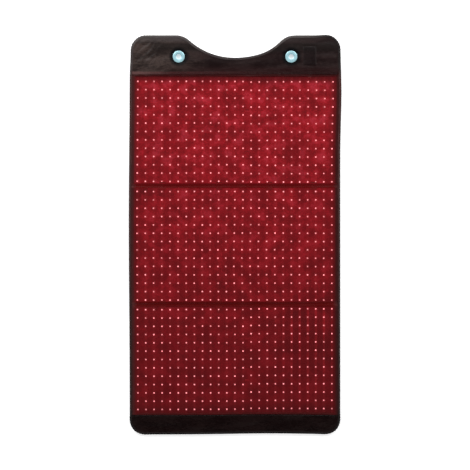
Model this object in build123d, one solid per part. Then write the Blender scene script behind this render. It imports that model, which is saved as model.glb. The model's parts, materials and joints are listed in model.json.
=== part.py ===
from build123d import *
import os
from math import atan2, cos, degrees, hypot, radians, sin, sqrt

# Foldable infrared LED therapy mat, lying flat with its lit face up. Millimetres.
# Frame: +X to the wearer's right edge, +Y towards the neck cut-out, +Z out of the lit face.
# Origin: middle of the mat's outline, on the surface that its back cover lies on.
# Three stiff panels are joined by two soft fold webs: the upper panel folds over the lit
# face of the middle one, and the lower panel folds under its back.

# ---- driving dimensions: outline -------------------------------------------------------
MAT_WIDTH = 800.0
MAT_LENGTH = 1516.0
HEAD_CORNER_R = 57.0
FOOT_CORNER_R = 65.0
NECK_DEPTH = 85.0
NECK_R = 262.0          # concave arc that the neck lies in
SHOULDER_R = 76.0       # convex arcs that run from the head edge into the neck arc

# ---- driving dimensions: layers --------------------------------------------------------
COVER_T = 1.5           # coated fabric of the back
FOAM_T = 4.0            # foam under the circuit boards
REFLECTOR_T = 0.3
BOARD_T = 0.8
LED_SIZE = 5.0          # square lamp package
LED_H = 1.6
LED_AIR = 0.1           # free height between the lamps and the window film
FILM_T = 0.6            # clear window film
SKIN_T = 1.0            # black skin of the head and foot strips
BINDING_T = 0.8
BINDING_LIP = 9.5       # width of the binding's two lips

# ---- driving dimensions: lamp fields ---------------------------------------------------
LED_PITCH_X = 30.7
LED_PITCH_Y = 31.6
SIDE_MARGIN = 31.6      # least distance from a mat edge to the first column
HEAD_MARGIN = 173.0     # head edge to the first row
FOOT_MARGIN = 96.0      # least distance from the last row to the foot edge
FOLD_ROW_GAP = 38.5     # between the two rows on either side of a fold
LEFT_BOARD_COLUMNS = 14
BOARD_EDGE = 13.0       # board beyond the outermost lamps
HEAD_SEAM = 17.0        # first row to the seam between window film and head strip
FOOT_SEAM = 21.3        # last row to the seam between window film and foot strip

# ---- driving dimensions: folds, board links --------------------------------------------
FOLD_WEB = 18.0         # width of the soft web between two panels
JUMPER_WIDTH = 24.0
JUMPER_T = 0.3
JUMPERS_PER_BOARD = 2
CONNECTOR_LENGTH = 5.0
CONNECTOR_H = 1.5
LINK_LENGTH = 18.0
LINK_WIDTH = 6.0
LINK_T = 0.4
LINKS_PER_PANEL = 2

# ---- driving dimensions: eyelets -------------------------------------------------------
EYELET_SPACING = 427.0
EYELET_FROM_HEAD = 82.0
EYELET_BORE_R = 10.0
EYELET_WALL = 1.0
EYELET_FLANGE_R = 22.5
EYELET_FLANGE_T = 1.3
EYELET_EDGE_R = 0.8
WASHER_T = 0.8

# ---- driving dimensions: junction box and inlet ----------------------------------------
BOX_OFFSET_X = 69.5     # right eyelet to the middle of the box
BOX_OFFSET_Y = 3.0
BOX_WIDTH = 44.0
BOX_LENGTH = 67.0
BOX_WALL = 1.6
BOX_FLOOR = 1.2
BOX_LID_T = 1.6
BOX_CORNER_R = 4.0
BOX_RAISE = 1.0         # how far the skin over the box stands above the strip
SCREW_INSET = 4.6
SCREW_R = 0.9
SCREW_HEAD_R = 1.7
SCREW_HEAD_T = 0.8
SCREW_LENGTH = 5.0
POST_R = 2.4
INLET_BORE_R = 4.0
INLET_DEPTH = 5.0
INLET_WALL = 1.6
INLET_FLOOR = 1.0
INLET_FROM_BOX_END = 15.0
CONTACT_R = 2.6
CONTACT_T = 0.4
CONTROL_BOARD_T = 1.2
CHIP_H = 1.4
LEAD_WIDTH = 10.0
LEAD_T = 0.5
LEAD_INTO_BOX = 5.0

# ---- clearances ------------------------------------------------------------------------
SEAT_GAP = 0.1          # between a piece and the pocket or edge that it lies in
MOVE_GAP = 0.3          # between a fold web and the panel that turns beside it
POCKET_GAP = 0.5        # between a board and its pocket in the foam

# ---- levels, from the resting surface up -----------------------------------------------
Z_FOAM = COVER_T
Z_REFLECTOR = Z_FOAM + FOAM_T
Z_BOARD = Z_REFLECTOR + REFLECTOR_T
Z_LED = Z_BOARD + BOARD_T
Z_FILM = Z_LED + LED_H + LED_AIR
Z_FACE = Z_FILM + FILM_T
Z_SKIN = Z_FACE - SKIN_T
Z_FRONT = Z_FACE + BINDING_T

# ---- plan ------------------------------------------------------------------------------
HALF_W = MAT_WIDTH / 2
HALF_L = MAT_LENGTH / 2
COLUMNS = int((MAT_WIDTH - 2 * SIDE_MARGIN) / LED_PITCH_X + 0.001) + 1
ROW_SPAN = MAT_LENGTH - HEAD_MARGIN - FOOT_MARGIN - 2 * (FOLD_ROW_GAP - LED_PITCH_Y)
ROWS = int(ROW_SPAN / LED_PITCH_Y + 0.001) + 1
END_PANEL_ROWS = ROWS // 3
MIDDLE_PANEL_ROWS = ROWS - 2 * END_PANEL_ROWS
COLUMN_X = [(i - (COLUMNS - 1) / 2) * LED_PITCH_X for i in range(COLUMNS)]
BOARD_SPLIT_X = COLUMN_X[LEFT_BOARD_COLUMNS - 1] + LED_PITCH_X / 2
BOARD_HALF_W = COLUMN_X[-1] + BOARD_EDGE
FIRST_ROW_Y = HALF_L - HEAD_MARGIN
UPPER_FOLD_Y = FIRST_ROW_Y - (END_PANEL_ROWS - 1) * LED_PITCH_Y - FOLD_ROW_GAP / 2
LOWER_FOLD_Y = UPPER_FOLD_Y - (MIDDLE_PANEL_ROWS - 1) * LED_PITCH_Y - FOLD_ROW_GAP
LAST_ROW_Y = LOWER_FOLD_Y - FOLD_ROW_GAP / 2 - (END_PANEL_ROWS - 1) * LED_PITCH_Y
HEAD_SEAM_Y = FIRST_ROW_Y + HEAD_SEAM
FOOT_SEAM_Y = LAST_ROW_Y - FOOT_SEAM
HALF_WEB = FOLD_WEB / 2
EYELET_Y = HALF_L - EYELET_FROM_HEAD
EYELET_X = EYELET_SPACING / 2
BARREL_R = EYELET_BORE_R + EYELET_WALL
BOX_X = EYELET_X + BOX_OFFSET_X
BOX_Y = EYELET_Y + BOX_OFFSET_Y
BOX_TOP = Z_FACE + BOX_RAISE - SKIN_T - SEAT_GAP
LID_Z = BOX_TOP - BOX_LID_T
INLET_Y = BOX_Y - BOX_LENGTH / 2 + INLET_FROM_BOX_END
INLET_R = INLET_BORE_R + INLET_WALL
COVER_EDGE = BINDING_T + SEAT_GAP

# Panels: name, lowest and highest Y, first (highest) row Y, rows, Y range of the boards.
# A board ends half a millimetre short of the fold web, and runs on past its last lamps
# at the head and foot.
PANELS = {
    "upper": {
        "y": (UPPER_FOLD_Y + HALF_WEB, HALF_L),
        "row": FIRST_ROW_Y,
        "rows": END_PANEL_ROWS,
        "board": (UPPER_FOLD_Y + HALF_WEB + POCKET_GAP, FIRST_ROW_Y + BOARD_EDGE),
    },
    "middle": {
        "y": (LOWER_FOLD_Y + HALF_WEB, UPPER_FOLD_Y - HALF_WEB),
        "row": UPPER_FOLD_Y - FOLD_ROW_GAP / 2,
        "rows": MIDDLE_PANEL_ROWS,
        "board": (LOWER_FOLD_Y + HALF_WEB + POCKET_GAP, UPPER_FOLD_Y - HALF_WEB - POCKET_GAP),
    },
    "lower": {
        "y": (-HALF_L, LOWER_FOLD_Y - HALF_WEB),
        "row": LOWER_FOLD_Y - FOLD_ROW_GAP / 2,
        "rows": END_PANEL_ROWS,
        "board": (LAST_ROW_Y - BOARD_EDGE, LOWER_FOLD_Y - HALF_WEB - POCKET_GAP),
    },
}
FOLDS = {"upper": UPPER_FOLD_Y, "lower": LOWER_FOLD_Y}


def arc(centre_x, centre_y, radius, from_deg, to_deg):
    """The arc about a centre between two angles, counted from +X towards +Y."""
    angles = (radians(from_deg), radians((from_deg + to_deg) / 2), radians(to_deg))
    points = [(centre_x + radius * cos(a), centre_y + radius * sin(a)) for a in angles]
    return ThreePointArc(*points)


def outline(inset):
    """The mat's outline moved inwards by inset: every arc keeps its centre."""
    half_w = HALF_W - inset
    head_y = HALF_L - inset
    foot_y = -HALF_L + inset
    head_r = HEAD_CORNER_R - inset
    foot_r = FOOT_CORNER_R - inset
    shoulder_r = SHOULDER_R - inset
    neck_r = NECK_R + inset
    neck_y = HALF_L - NECK_DEPTH + NECK_R
    shoulder_y = HALF_L - SHOULDER_R
    shoulder_x = sqrt((SHOULDER_R + NECK_R) ** 2 - (neck_y - shoulder_y) ** 2)
    meet = degrees(atan2(neck_y - shoulder_y, shoulder_x))
    foot_x = half_w - foot_r
    head_x = half_w - head_r
    edges = [
        Line((-foot_x, foot_y), (foot_x, foot_y)),
        arc(foot_x, foot_y + foot_r, foot_r, -90, 0),
        Line((half_w, foot_y + foot_r), (half_w, head_y - head_r)),
        arc(head_x, head_y - head_r, head_r, 0, 90),
        Line((head_x, head_y), (shoulder_x, head_y)),
        arc(shoulder_x, shoulder_y, shoulder_r, 90, 180 - meet),
        arc(0, neck_y, neck_r, -meet, meet - 180),
        arc(-shoulder_x, shoulder_y, shoulder_r, meet, 90),
        Line((-shoulder_x, head_y), (-head_x, head_y)),
        arc(-head_x, head_y - head_r, head_r, 90, 180),
        Line((-half_w, head_y - head_r), (-half_w, foot_y + foot_r)),
        arc(-foot_x, foot_y + foot_r, foot_r, 180, 270),
    ]
    return make_face(edges)


def block(x_range, y_range, z_range):
    """A box between three pairs of coordinates."""
    size = [high - low for low, high in (x_range, y_range, z_range)]
    middle = [(high + low) / 2 for low, high in (x_range, y_range, z_range)]
    return Pos(*middle) * Box(*size)


def strip(y_range, z_range):
    """A box right across the mat."""
    return block((-MAT_WIDTH, MAT_WIDTH), y_range, z_range)


def plate(inset, y_range, z_range):
    """The inset outline, raised between two levels and cut to a range of Y."""
    whole = Pos(0, 0, z_range[0]) * extrude(outline(inset), z_range[1] - z_range[0])
    return whole & strip(y_range, z_range)


def tube_hole(x, y, radius, z_range):
    """An upright cylinder between two levels."""
    height = z_range[1] - z_range[0]
    return Pos(x, y, z_range[0] + height / 2) * Cylinder(radius, height)


def back_cover(y_range):
    """The back cover, stepped under its edge for the binding's lower lip."""
    cover = plate(COVER_EDGE, y_range, (0, COVER_T))
    step = (0, BINDING_T)
    lip_seat = plate(0, y_range, step) - plate(BINDING_LIP + SEAT_GAP, y_range, step)
    return cover - lip_seat


def edge_binding(y_range):
    """The folded tape round the edge: an outer wall and two lips."""
    whole = plate(0, y_range, (0, Z_FRONT))
    inside = plate(BINDING_T, y_range, (BINDING_T, Z_FACE))
    opening = plate(BINDING_LIP, y_range, (0, Z_FRONT))
    return whole - inside - opening


def foam_pad(name):
    """A panel's foam, with a pocket that the reflector, boards and lamps lie in."""
    panel = PANELS[name]
    low, high = panel["y"]
    if name == "upper":
        high = HEAD_SEAM_Y - SEAT_GAP
    foam = plate(COVER_EDGE, (low, high), (Z_FOAM, Z_FILM))
    board_low, board_high = panel["board"]
    half = BOARD_HALF_W + POCKET_GAP
    pocket_y = (board_low - POCKET_GAP, board_high + POCKET_GAP)
    foam -= block((-half, half), pocket_y, (Z_REFLECTOR, Z_FILM))
    if name == "lower":
        foam -= strip((-HALF_L, FOOT_SEAM_Y), (Z_SKIN, Z_FILM))
    if name == "upper":
        foam -= lead_channel()
    return foam


def led_board(name, side):
    """One circuit board of a panel: the left one carries LEFT_BOARD_COLUMNS columns."""
    low_x, high_x = -BOARD_HALF_W, BOARD_HALF_W
    if side == "left":
        high_x = BOARD_SPLIT_X - SEAT_GAP
    else:
        low_x = BOARD_SPLIT_X + SEAT_GAP
    return block((low_x, high_x), PANELS[name]["board"], (Z_BOARD, Z_LED))


def reflector(name):
    """The reflector sheet under both boards of a panel."""
    return block((-BOARD_HALF_W, BOARD_HALF_W), PANELS[name]["board"], (Z_REFLECTOR, Z_BOARD))


def lamps(name):
    """A panel's lamp packages, one separate solid each."""
    panel = PANELS[name]
    lamp = Box(LED_SIZE, LED_SIZE, LED_H)
    rows = [panel["row"] - j * LED_PITCH_Y for j in range(panel["rows"])]
    return [Pos(x, y, Z_LED + LED_H / 2) * lamp for y in rows for x in COLUMN_X]


def jumper_x():
    """Middles of the ribbon jumpers, spread evenly over each board."""
    sides = ((-BOARD_HALF_W, BOARD_SPLIT_X), (BOARD_SPLIT_X, BOARD_HALF_W))
    count = JUMPERS_PER_BOARD
    return [low + (high - low) * (k + 0.5) / count for low, high in sides for k in range(count)]


def connectors(name):
    """Ribbon connectors on the board ends beside each fold, and one for the power lead."""
    low, high = PANELS[name]["board"]
    z_range = (Z_LED, Z_LED + CONNECTOR_H)
    ends = []
    if name != "lower":
        ends.append((low, low + CONNECTOR_LENGTH))
    if name != "upper":
        ends.append((high - CONNECTOR_LENGTH, high))
    half = JUMPER_WIDTH / 2
    found = [block((x - half, x + half), end, z_range) for end in ends for x in jumper_x()]
    if name == "upper":
        half = LEAD_WIDTH / 2 + BOX_WALL
        lead_end = (high - CONNECTOR_LENGTH, high)
        found.append(block((BOX_X - half, BOX_X + half), lead_end, z_range))
    return found


def board_links(name):
    """Flat soldered links that join the left board to the right one between two rows."""
    panel = PANELS[name]
    found = []
    for k in range(LINKS_PER_PANEL):
        row = round((panel["rows"] - 2) * (k + 0.5) / LINKS_PER_PANEL)
        y = panel["row"] - (row + 0.5) * LED_PITCH_Y
        x_range = (BOARD_SPLIT_X - LINK_LENGTH / 2, BOARD_SPLIT_X + LINK_LENGTH / 2)
        y_range = (y - LINK_WIDTH / 2, y + LINK_WIDTH / 2)
        found.append(block(x_range, y_range, (Z_LED, Z_LED + LINK_T)))
    return found


def lead_box(gap, low_y, high_y):
    """The power lead's run between two Y values, with a gap round its section."""
    half = LEAD_WIDTH / 2 + gap
    return block((BOX_X - half, BOX_X + half), (low_y, high_y), (Z_LED - gap, Z_LED + LEAD_T + gap))


def lead_channel():
    """Room for the power lead from the boards to the junction box."""
    half = LEAD_WIDTH / 2 + POCKET_GAP
    low_y = PANELS["upper"]["board"][1]
    return block((BOX_X - half, BOX_X + half), (low_y, BOX_Y), (Z_LED - SEAT_GAP, Z_FILM))


def box_plan(grow, z_range):
    """The junction box's plan with round corners, grown by a gap or wall."""
    width = BOX_WIDTH + 2 * grow
    length = BOX_LENGTH + 2 * grow
    plan = RectangleRounded(width, length, BOX_CORNER_R + grow)
    return Pos(BOX_X, BOX_Y, z_range[0]) * extrude(plan, z_range[1] - z_range[0])


def screw_places():
    """The four corners of the box lid that its screws hold."""
    reach_x = BOX_WIDTH / 2 - SCREW_INSET
    reach_y = BOX_LENGTH / 2 - SCREW_INSET
    return [(BOX_X + i * reach_x, BOX_Y + j * reach_y) for i in (-1, 1) for j in (-1, 1)]


def junction_box_base():
    """The tray of the box: floor, wall, screw posts, and holes for the inlet and lead."""
    base = box_plan(0, (Z_FOAM, LID_Z))
    base -= box_plan(-BOX_WALL, (Z_FOAM + BOX_FLOOR, LID_Z))
    for x, y in screw_places():
        base += tube_hole(x, y, POST_R, (Z_FOAM + BOX_FLOOR, LID_Z))
    for x, y in screw_places():
        base -= tube_hole(x, y, SCREW_R + SEAT_GAP, (Z_FOAM + BOX_FLOOR, LID_Z))
    base -= tube_hole(BOX_X, INLET_Y, INLET_R + SEAT_GAP, (Z_FOAM, Z_FOAM + BOX_FLOOR))
    base -= lead_box(SEAT_GAP, BOX_Y - BOX_LENGTH, BOX_Y)
    return base


def junction_box_lid():
    """The lid, with countersunk screw holes."""
    lid = box_plan(0, (LID_Z, BOX_TOP))
    for x, y in screw_places():
        lid -= tube_hole(x, y, SCREW_R + SEAT_GAP, (LID_Z, BOX_TOP))
        lid -= tube_hole(x, y, SCREW_HEAD_R + SEAT_GAP, (BOX_TOP - SCREW_HEAD_T, BOX_TOP))
    return lid


def lid_screw(x, y):
    """One countersunk lid screw."""
    head = tube_hole(x, y, SCREW_HEAD_R, (BOX_TOP - SCREW_HEAD_T, BOX_TOP))
    shank_low = BOX_TOP - SCREW_HEAD_T - SCREW_LENGTH
    return head + tube_hole(x, y, SCREW_R, (shank_low, BOX_TOP - SCREW_HEAD_T))


def inlet_socket():
    """The round power socket: a cup that opens at the back of the mat."""
    cup = tube_hole(BOX_X, INLET_Y, INLET_R, (0, INLET_DEPTH + INLET_FLOOR))
    cup -= tube_hole(BOX_X, INLET_Y, INLET_BORE_R, (0, INLET_DEPTH))
    cup -= tube_hole(BOX_X, INLET_Y, CONTACT_R + SEAT_GAP, (INLET_DEPTH, INLET_DEPTH + CONTACT_T))
    return cup


def control_board():
    """The board that drives the lamps: a plate over the inlet's far side, with a chip."""
    inner_x = BOX_WIDTH / 2 - BOX_WALL - POCKET_GAP
    low_y = INLET_Y + INLET_R + POCKET_GAP
    high_y = BOX_Y + BOX_LENGTH / 2 - SCREW_INSET - POST_R - POCKET_GAP
    low_z = Z_FOAM + BOX_FLOOR
    board = block((BOX_X - inner_x, BOX_X + inner_x), (low_y, high_y), (low_z, low_z + CONTROL_BOARD_T))
    middle_y = (low_y + high_y) / 2
    half = inner_x / 2
    top_z = low_z + CONTROL_BOARD_T
    return board + block((BOX_X - half, BOX_X + half), (middle_y - half, middle_y + half), (top_z, top_z + CHIP_H))


def eyelet_hole(solid, x, z_range):
    """The solid with a hole for an eyelet's barrel."""
    return solid - tube_hole(x, EYELET_Y, BARREL_R + SEAT_GAP, z_range)


def eyelet(x):
    """A pressed metal eyelet: barrel through the strip, and a rounded flange on its face."""
    top = Z_FACE + EYELET_FLANGE_T
    flange = tube_hole(x, EYELET_Y, EYELET_FLANGE_R, (Z_FACE, top))
    ring = flange + tube_hole(x, EYELET_Y, BARREL_R, (0, Z_FACE))
    ring -= tube_hole(x, EYELET_Y, EYELET_BORE_R, (0, top))
    top_edges = ring.edges().filter_by(GeomType.CIRCLE).group_by(Axis.Z)[-1]
    return fillet(top_edges, EYELET_EDGE_R)


def washer(x):
    """The flat washer that an eyelet's barrel is pressed over at the back."""
    ring = tube_hole(x, EYELET_Y, EYELET_FLANGE_R, (0, WASHER_T))
    return ring - tube_hole(x, EYELET_Y, BARREL_R + SEAT_GAP, (0, WASHER_T))


def upper_back_cover():
    """The upper panel's cover, pierced for the eyelets, their washers and the inlet."""
    cover = back_cover(PANELS["upper"]["y"])
    for x in (-EYELET_X, EYELET_X):
        cover = eyelet_hole(cover, x, (0, COVER_T))
        cover -= tube_hole(x, EYELET_Y, EYELET_FLANGE_R + SEAT_GAP, (0, WASHER_T))
    return cover - tube_hole(BOX_X, INLET_Y, INLET_R + SEAT_GAP, (0, COVER_T))


def head_foam_pad():
    """The head strip's foam, cut out round the eyelets, the box and the lead."""
    z_range = (Z_FOAM, Z_SKIN)
    foam = plate(COVER_EDGE, (HEAD_SEAM_Y, HALF_L), z_range)
    for x in (-EYELET_X, EYELET_X):
        foam = eyelet_hole(foam, x, z_range)
    foam -= box_plan(SEAT_GAP, z_range)
    return foam - lead_channel()


def head_front_skin():
    """The head strip's skin, raised over the junction box."""
    skin = plate(COVER_EDGE, (HEAD_SEAM_Y, HALF_L), (Z_SKIN, Z_FACE))
    for x in (-EYELET_X, EYELET_X):
        skin = eyelet_hole(skin, x, (Z_SKIN, Z_FACE))
    skin += box_plan(SKIN_T + SEAT_GAP, (Z_SKIN, Z_FACE + BOX_RAISE))
    return skin - box_plan(SEAT_GAP, (Z_SKIN, BOX_TOP + SEAT_GAP))


def write(node, shapes):
    """One STEP file of one or more separate solids."""
    pieces = list(shapes) if isinstance(shapes, (list, tuple)) else [shapes]
    solids = [solid for piece in pieces for solid in piece.solids()]
    target = solids[0] if len(solids) == 1 else Compound(children=solids)
    export_step(target, f"parts/{node}.step")


def write_panel(name):
    """The pieces that all three panels have."""
    y_range = PANELS[name]["y"]
    film_low = FOOT_SEAM_Y + SEAT_GAP if name == "lower" else y_range[0]
    film_high = HEAD_SEAM_Y - SEAT_GAP if name == "upper" else y_range[1]
    write(f"{name}_window_film", plate(COVER_EDGE, (film_low, film_high), (Z_FILM, Z_FACE)))
    write(f"{name}_back_cover", upper_back_cover() if name == "upper" else back_cover(y_range))
    write(f"{name}_foam_pad", foam_pad(name))
    write(f"{name}_reflector_sheet", reflector(name))
    write(f"{name}_led_board_left", led_board(name, "left"))
    write(f"{name}_led_board_right", led_board(name, "right"))
    write(f"{name}_leds", lamps(name))
    write(f"{name}_board_connectors", connectors(name))
    write(f"{name}_board_links", board_links(name))
    write(f"{name}_edge_binding", edge_binding(y_range))


def write_fold(name):
    """A soft web: film, back and binding across the fold, and the ribbon jumpers in it.

    The web stays with the middle panel, so it ends MOVE_GAP short of the turning one.
    """
    turning_gap = HALF_WEB - MOVE_GAP
    y = FOLDS[name]
    y_range = (y - HALF_WEB, y + turning_gap) if name == "upper" else (y - turning_gap, y + HALF_WEB)
    write(f"{name}_fold_film", plate(COVER_EDGE, y_range, (Z_FILM, Z_FACE)))
    write(f"{name}_fold_back", back_cover(y_range))
    write(f"{name}_fold_binding", edge_binding(y_range))
    half = JUMPER_WIDTH / 2
    z_range = (Z_LED, Z_LED + JUMPER_T)
    write(f"{name}_fold_jumpers", [block((x - half, x + half), y_range, z_range) for x in jumper_x()])


def write_head():
    """The head strip: skin, foam, eyelets, junction box and inlet."""
    write("head_front_skin", head_front_skin())
    write("head_foam_pad", head_foam_pad())
    write("eyelets", [eyelet(-EYELET_X), eyelet(EYELET_X)])
    write("eyelet_washers", [washer(-EYELET_X), washer(EYELET_X)])
    write("junction_box_base", junction_box_base())
    write("junction_box_lid", junction_box_lid())
    write("junction_box_screws", [lid_screw(x, y) for x, y in screw_places()])
    write("control_board", control_board())
    write("power_inlet_socket", inlet_socket())
    contact = tube_hole(BOX_X, INLET_Y, CONTACT_R, (INLET_DEPTH, INLET_DEPTH + CONTACT_T))
    write("power_inlet_contacts", contact)
    lead_low = PANELS["upper"]["board"][1] + SEAT_GAP
    lead_high = BOX_Y - BOX_LENGTH / 2 + LEAD_INTO_BOX
    write("power_lead", lead_box(0, lead_low, lead_high))


def write_foot():
    """The foot strip's skin."""
    write("foot_front_skin", plate(COVER_EDGE, (-HALF_L, FOOT_SEAM_Y), (Z_SKIN, Z_FACE)))


os.makedirs("parts", exist_ok=True)
for panel_name in PANELS:
    write_panel(panel_name)
for fold_name in FOLDS:
    write_fold(fold_name)
write_head()
write_foot()
print("columns", COLUMNS, "rows", ROWS, "folds at", UPPER_FOLD_Y, LOWER_FOLD_Y, "front plane", Z_FRONT)
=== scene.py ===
import json
import math

import bpy
import numpy as np
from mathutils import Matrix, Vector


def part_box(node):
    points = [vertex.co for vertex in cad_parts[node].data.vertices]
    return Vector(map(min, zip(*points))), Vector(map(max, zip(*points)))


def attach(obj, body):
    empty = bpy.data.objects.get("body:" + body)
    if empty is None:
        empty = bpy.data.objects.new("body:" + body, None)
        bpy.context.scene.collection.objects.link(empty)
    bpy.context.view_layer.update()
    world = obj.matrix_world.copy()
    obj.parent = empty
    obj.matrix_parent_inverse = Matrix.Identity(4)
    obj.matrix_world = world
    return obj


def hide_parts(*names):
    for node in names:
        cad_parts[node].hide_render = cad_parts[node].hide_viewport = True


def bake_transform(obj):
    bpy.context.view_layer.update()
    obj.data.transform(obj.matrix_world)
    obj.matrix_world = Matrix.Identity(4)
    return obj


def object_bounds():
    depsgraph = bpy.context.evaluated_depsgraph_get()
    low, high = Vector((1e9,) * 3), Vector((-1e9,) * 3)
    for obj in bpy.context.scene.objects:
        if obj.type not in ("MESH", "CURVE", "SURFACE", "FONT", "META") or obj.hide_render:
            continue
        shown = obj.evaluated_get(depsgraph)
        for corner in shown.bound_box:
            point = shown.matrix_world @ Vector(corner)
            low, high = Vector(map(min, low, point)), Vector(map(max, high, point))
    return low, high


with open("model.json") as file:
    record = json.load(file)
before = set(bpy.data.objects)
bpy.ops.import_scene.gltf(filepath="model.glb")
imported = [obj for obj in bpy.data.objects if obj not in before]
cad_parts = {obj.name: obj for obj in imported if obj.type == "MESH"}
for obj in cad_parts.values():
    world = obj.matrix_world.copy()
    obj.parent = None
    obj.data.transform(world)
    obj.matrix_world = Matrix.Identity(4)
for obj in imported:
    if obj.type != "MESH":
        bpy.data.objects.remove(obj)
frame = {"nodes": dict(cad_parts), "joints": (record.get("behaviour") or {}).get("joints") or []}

# A foldable infrared LED therapy mat: three lamp panels under a clear film, black head and
# foot strips, sewn edge binding and two metal eyelets. Metres, in the CAD model's frame.

CAD_LOW, CAD_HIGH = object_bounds()

# ---- bodies, and places read from the frame ----------------------------------------------
UPPER, MIDDLE, LOWER = "upper_panel", "middle_panel", "lower_panel"
FOLD_Y = {joint["name"]: joint["pos_m"][1] for joint in frame["joints"]}
UPPER_FOLD_Y = FOLD_Y["upper_fold"]
LOWER_FOLD_Y = FOLD_Y["lower_fold"]
MEETING_Y = (UPPER_FOLD_Y + LOWER_FOLD_Y) / 2
HALF_W = CAD_HIGH.x
HALF_L = CAD_HIGH.y
Z_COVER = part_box("middle_back_cover")[1].z
Z_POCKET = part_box("middle_reflector_sheet")[0].z
Z_BOARD, Z_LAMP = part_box("middle_led_board_left")[0].z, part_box("middle_led_board_left")[1].z
Z_FILM, Z_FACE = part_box("middle_window_film")[0].z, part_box("middle_window_film")[1].z
Z_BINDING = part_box("middle_edge_binding")[1].z
HEAD_SEAM_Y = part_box("head_front_skin")[0].y
FOOT_SEAM_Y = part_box("foot_front_skin")[1].y
EYELET_LOW, EYELET_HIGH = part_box("eyelets")
EYELET_R = (EYELET_HIGH.y - EYELET_LOW.y) / 2
EYELET_X = EYELET_HIGH.x - EYELET_R
EYELET_Y = (EYELET_HIGH.y + EYELET_LOW.y) / 2
BOX_LOW, BOX_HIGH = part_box("junction_box_lid")
INLET_LOW, INLET_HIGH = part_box("power_inlet_socket")
INLET_X = (INLET_LOW.x + INLET_HIGH.x) / 2
INLET_Y = (INLET_LOW.y + INLET_HIGH.y) / 2
INLET_R = (INLET_HIGH.x - INLET_LOW.x) / 2

# ---- outline: the same arcs as the CAD model ---------------------------------------------
HEAD_CORNER_R = 0.057
FOOT_CORNER_R = 0.065
NECK_DEPTH = 0.085
NECK_R = 0.262
SHOULDER_R = 0.076
NECK_Y = HALF_L - NECK_DEPTH + NECK_R
SHOULDER_Y = HALF_L - SHOULDER_R
SHOULDER_X = math.sqrt((SHOULDER_R + NECK_R) ** 2 - (NECK_Y - SHOULDER_Y) ** 2)
MEET_ANGLE = math.atan2(NECK_Y - SHOULDER_Y, SHOULDER_X)

# ---- layers ------------------------------------------------------------------------------
COVER_EDGE = 0.0009     # the covers end this far inside the outline, within the binding
SKIN_T = 0.001
BINDING_LIP = 0.0095

# ---- lamps -------------------------------------------------------------------------------
PANELS = {"upper": UPPER, "middle": MIDDLE, "lower": LOWER}
COLUMNS = 25
ROWS = {"upper": 13, "middle": 14, "lower": 13}
LAMP_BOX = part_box("middle_leds")
LAMP_SIZE = 0.005
LAMP_HEIGHT = LAMP_BOX[1].z - LAMP_BOX[0].z
PITCH_X = (LAMP_BOX[1].x - LAMP_BOX[0].x - LAMP_SIZE) / (COLUMNS - 1)
PITCH_Y = (LAMP_BOX[1].y - LAMP_BOX[0].y - LAMP_SIZE) / (ROWS["middle"] - 1)
FIRST_COLUMN_X = LAMP_BOX[0].x + LAMP_SIZE / 2
FIRST_ROW_Y = {name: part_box(name + "_leds")[1].y - LAMP_SIZE / 2 for name in PANELS}
ROWS_BEFORE = {"upper": 0, "middle": 13, "lower": 27}
BOARD_SPLIT_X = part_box("middle_led_board_right")[0].x
BOARD_BOX = {
    (name, side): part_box(f"{name}_led_board_{side}") for name in PANELS for side in ("left", "right")
}

# How far each soft board has slipped in its pocket towards the head, in millimetres.
BOARD_SLIP = {
    ("upper", "left"): -3,
    ("upper", "right"): -5,
    ("middle", "left"): -3,
    ("middle", "right"): -3,
    ("lower", "left"): -1,
    ("lower", "right"): 2,
}


# ==== working out shapes ==================================================================
def smooth_step(value, low, high):
    """0 below low, 1 above high, and 3t^2 - 2t^3 of the share t of the way between."""
    t = np.clip((value - low) / (high - low), 0.0, 1.0)
    return t * t * (3 - 2 * t)


def bump(distance, width):
    """The bell exp(-(distance / width)^2)."""
    return np.exp(-((distance / width) ** 2))


def soft_noise(x, y, cell_x, cell_y, seed):
    """Noise from -1 to 1: random numbers on a grid of cells, joined by quintic blends."""
    reach = 3.0
    grid = np.random.default_rng(seed).uniform(
        -1, 1, (int(2 * reach / cell_x) + 3, int(2 * reach / cell_y) + 3)
    )
    u = (np.asarray(x) + reach) / cell_x
    v = (np.asarray(y) + reach) / cell_y
    i = np.floor(u).astype(int)
    j = np.floor(v).astype(int)
    a = u - i
    b = v - j
    a = a * a * a * (a * (a * 6 - 15) + 10)
    b = b * b * b * (b * (b * 6 - 15) + 10)
    low = grid[i, j] * (1 - a) + grid[i + 1, j] * a
    high = grid[i, j + 1] * (1 - a) + grid[i + 1, j + 1] * a
    return low * (1 - b) + high * b


def head_edge(x, inset=0.0):
    """The head edge's Y over x: neck arc, shoulder arc, straight edge, corner arc."""
    a = np.minimum(np.abs(x), HALF_W - inset)
    neck_r = NECK_R + inset
    shoulder_r = SHOULDER_R - inset
    corner_r = HEAD_CORNER_R - inset
    corner_x = HALF_W - HEAD_CORNER_R
    neck = NECK_Y - np.sqrt(np.maximum(neck_r**2 - a**2, 0))
    reach = np.clip(SHOULDER_X - a, 0, shoulder_r)
    shoulder = SHOULDER_Y + np.sqrt(shoulder_r**2 - reach**2)
    corner = HALF_L - HEAD_CORNER_R + np.sqrt(np.maximum(corner_r**2 - (a - corner_x) ** 2, 0))
    y = np.full_like(a, HALF_L - inset)
    y = np.where(a < SHOULDER_X, shoulder, y)
    y = np.where(a < neck_r * math.cos(MEET_ANGLE), neck, y)
    return np.where(a > corner_x, corner, y)


def foot_edge(x, inset=0.0):
    """The foot edge's Y over x: straight between two corner arcs."""
    a = np.minimum(np.abs(x), HALF_W - inset)
    corner_r = FOOT_CORNER_R - inset
    corner_x = HALF_W - FOOT_CORNER_R
    corner = -HALF_L + FOOT_CORNER_R - np.sqrt(np.maximum(corner_r**2 - (a - corner_x) ** 2, 0))
    return np.where(a > corner_x, corner, -HALF_L + inset)


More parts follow.
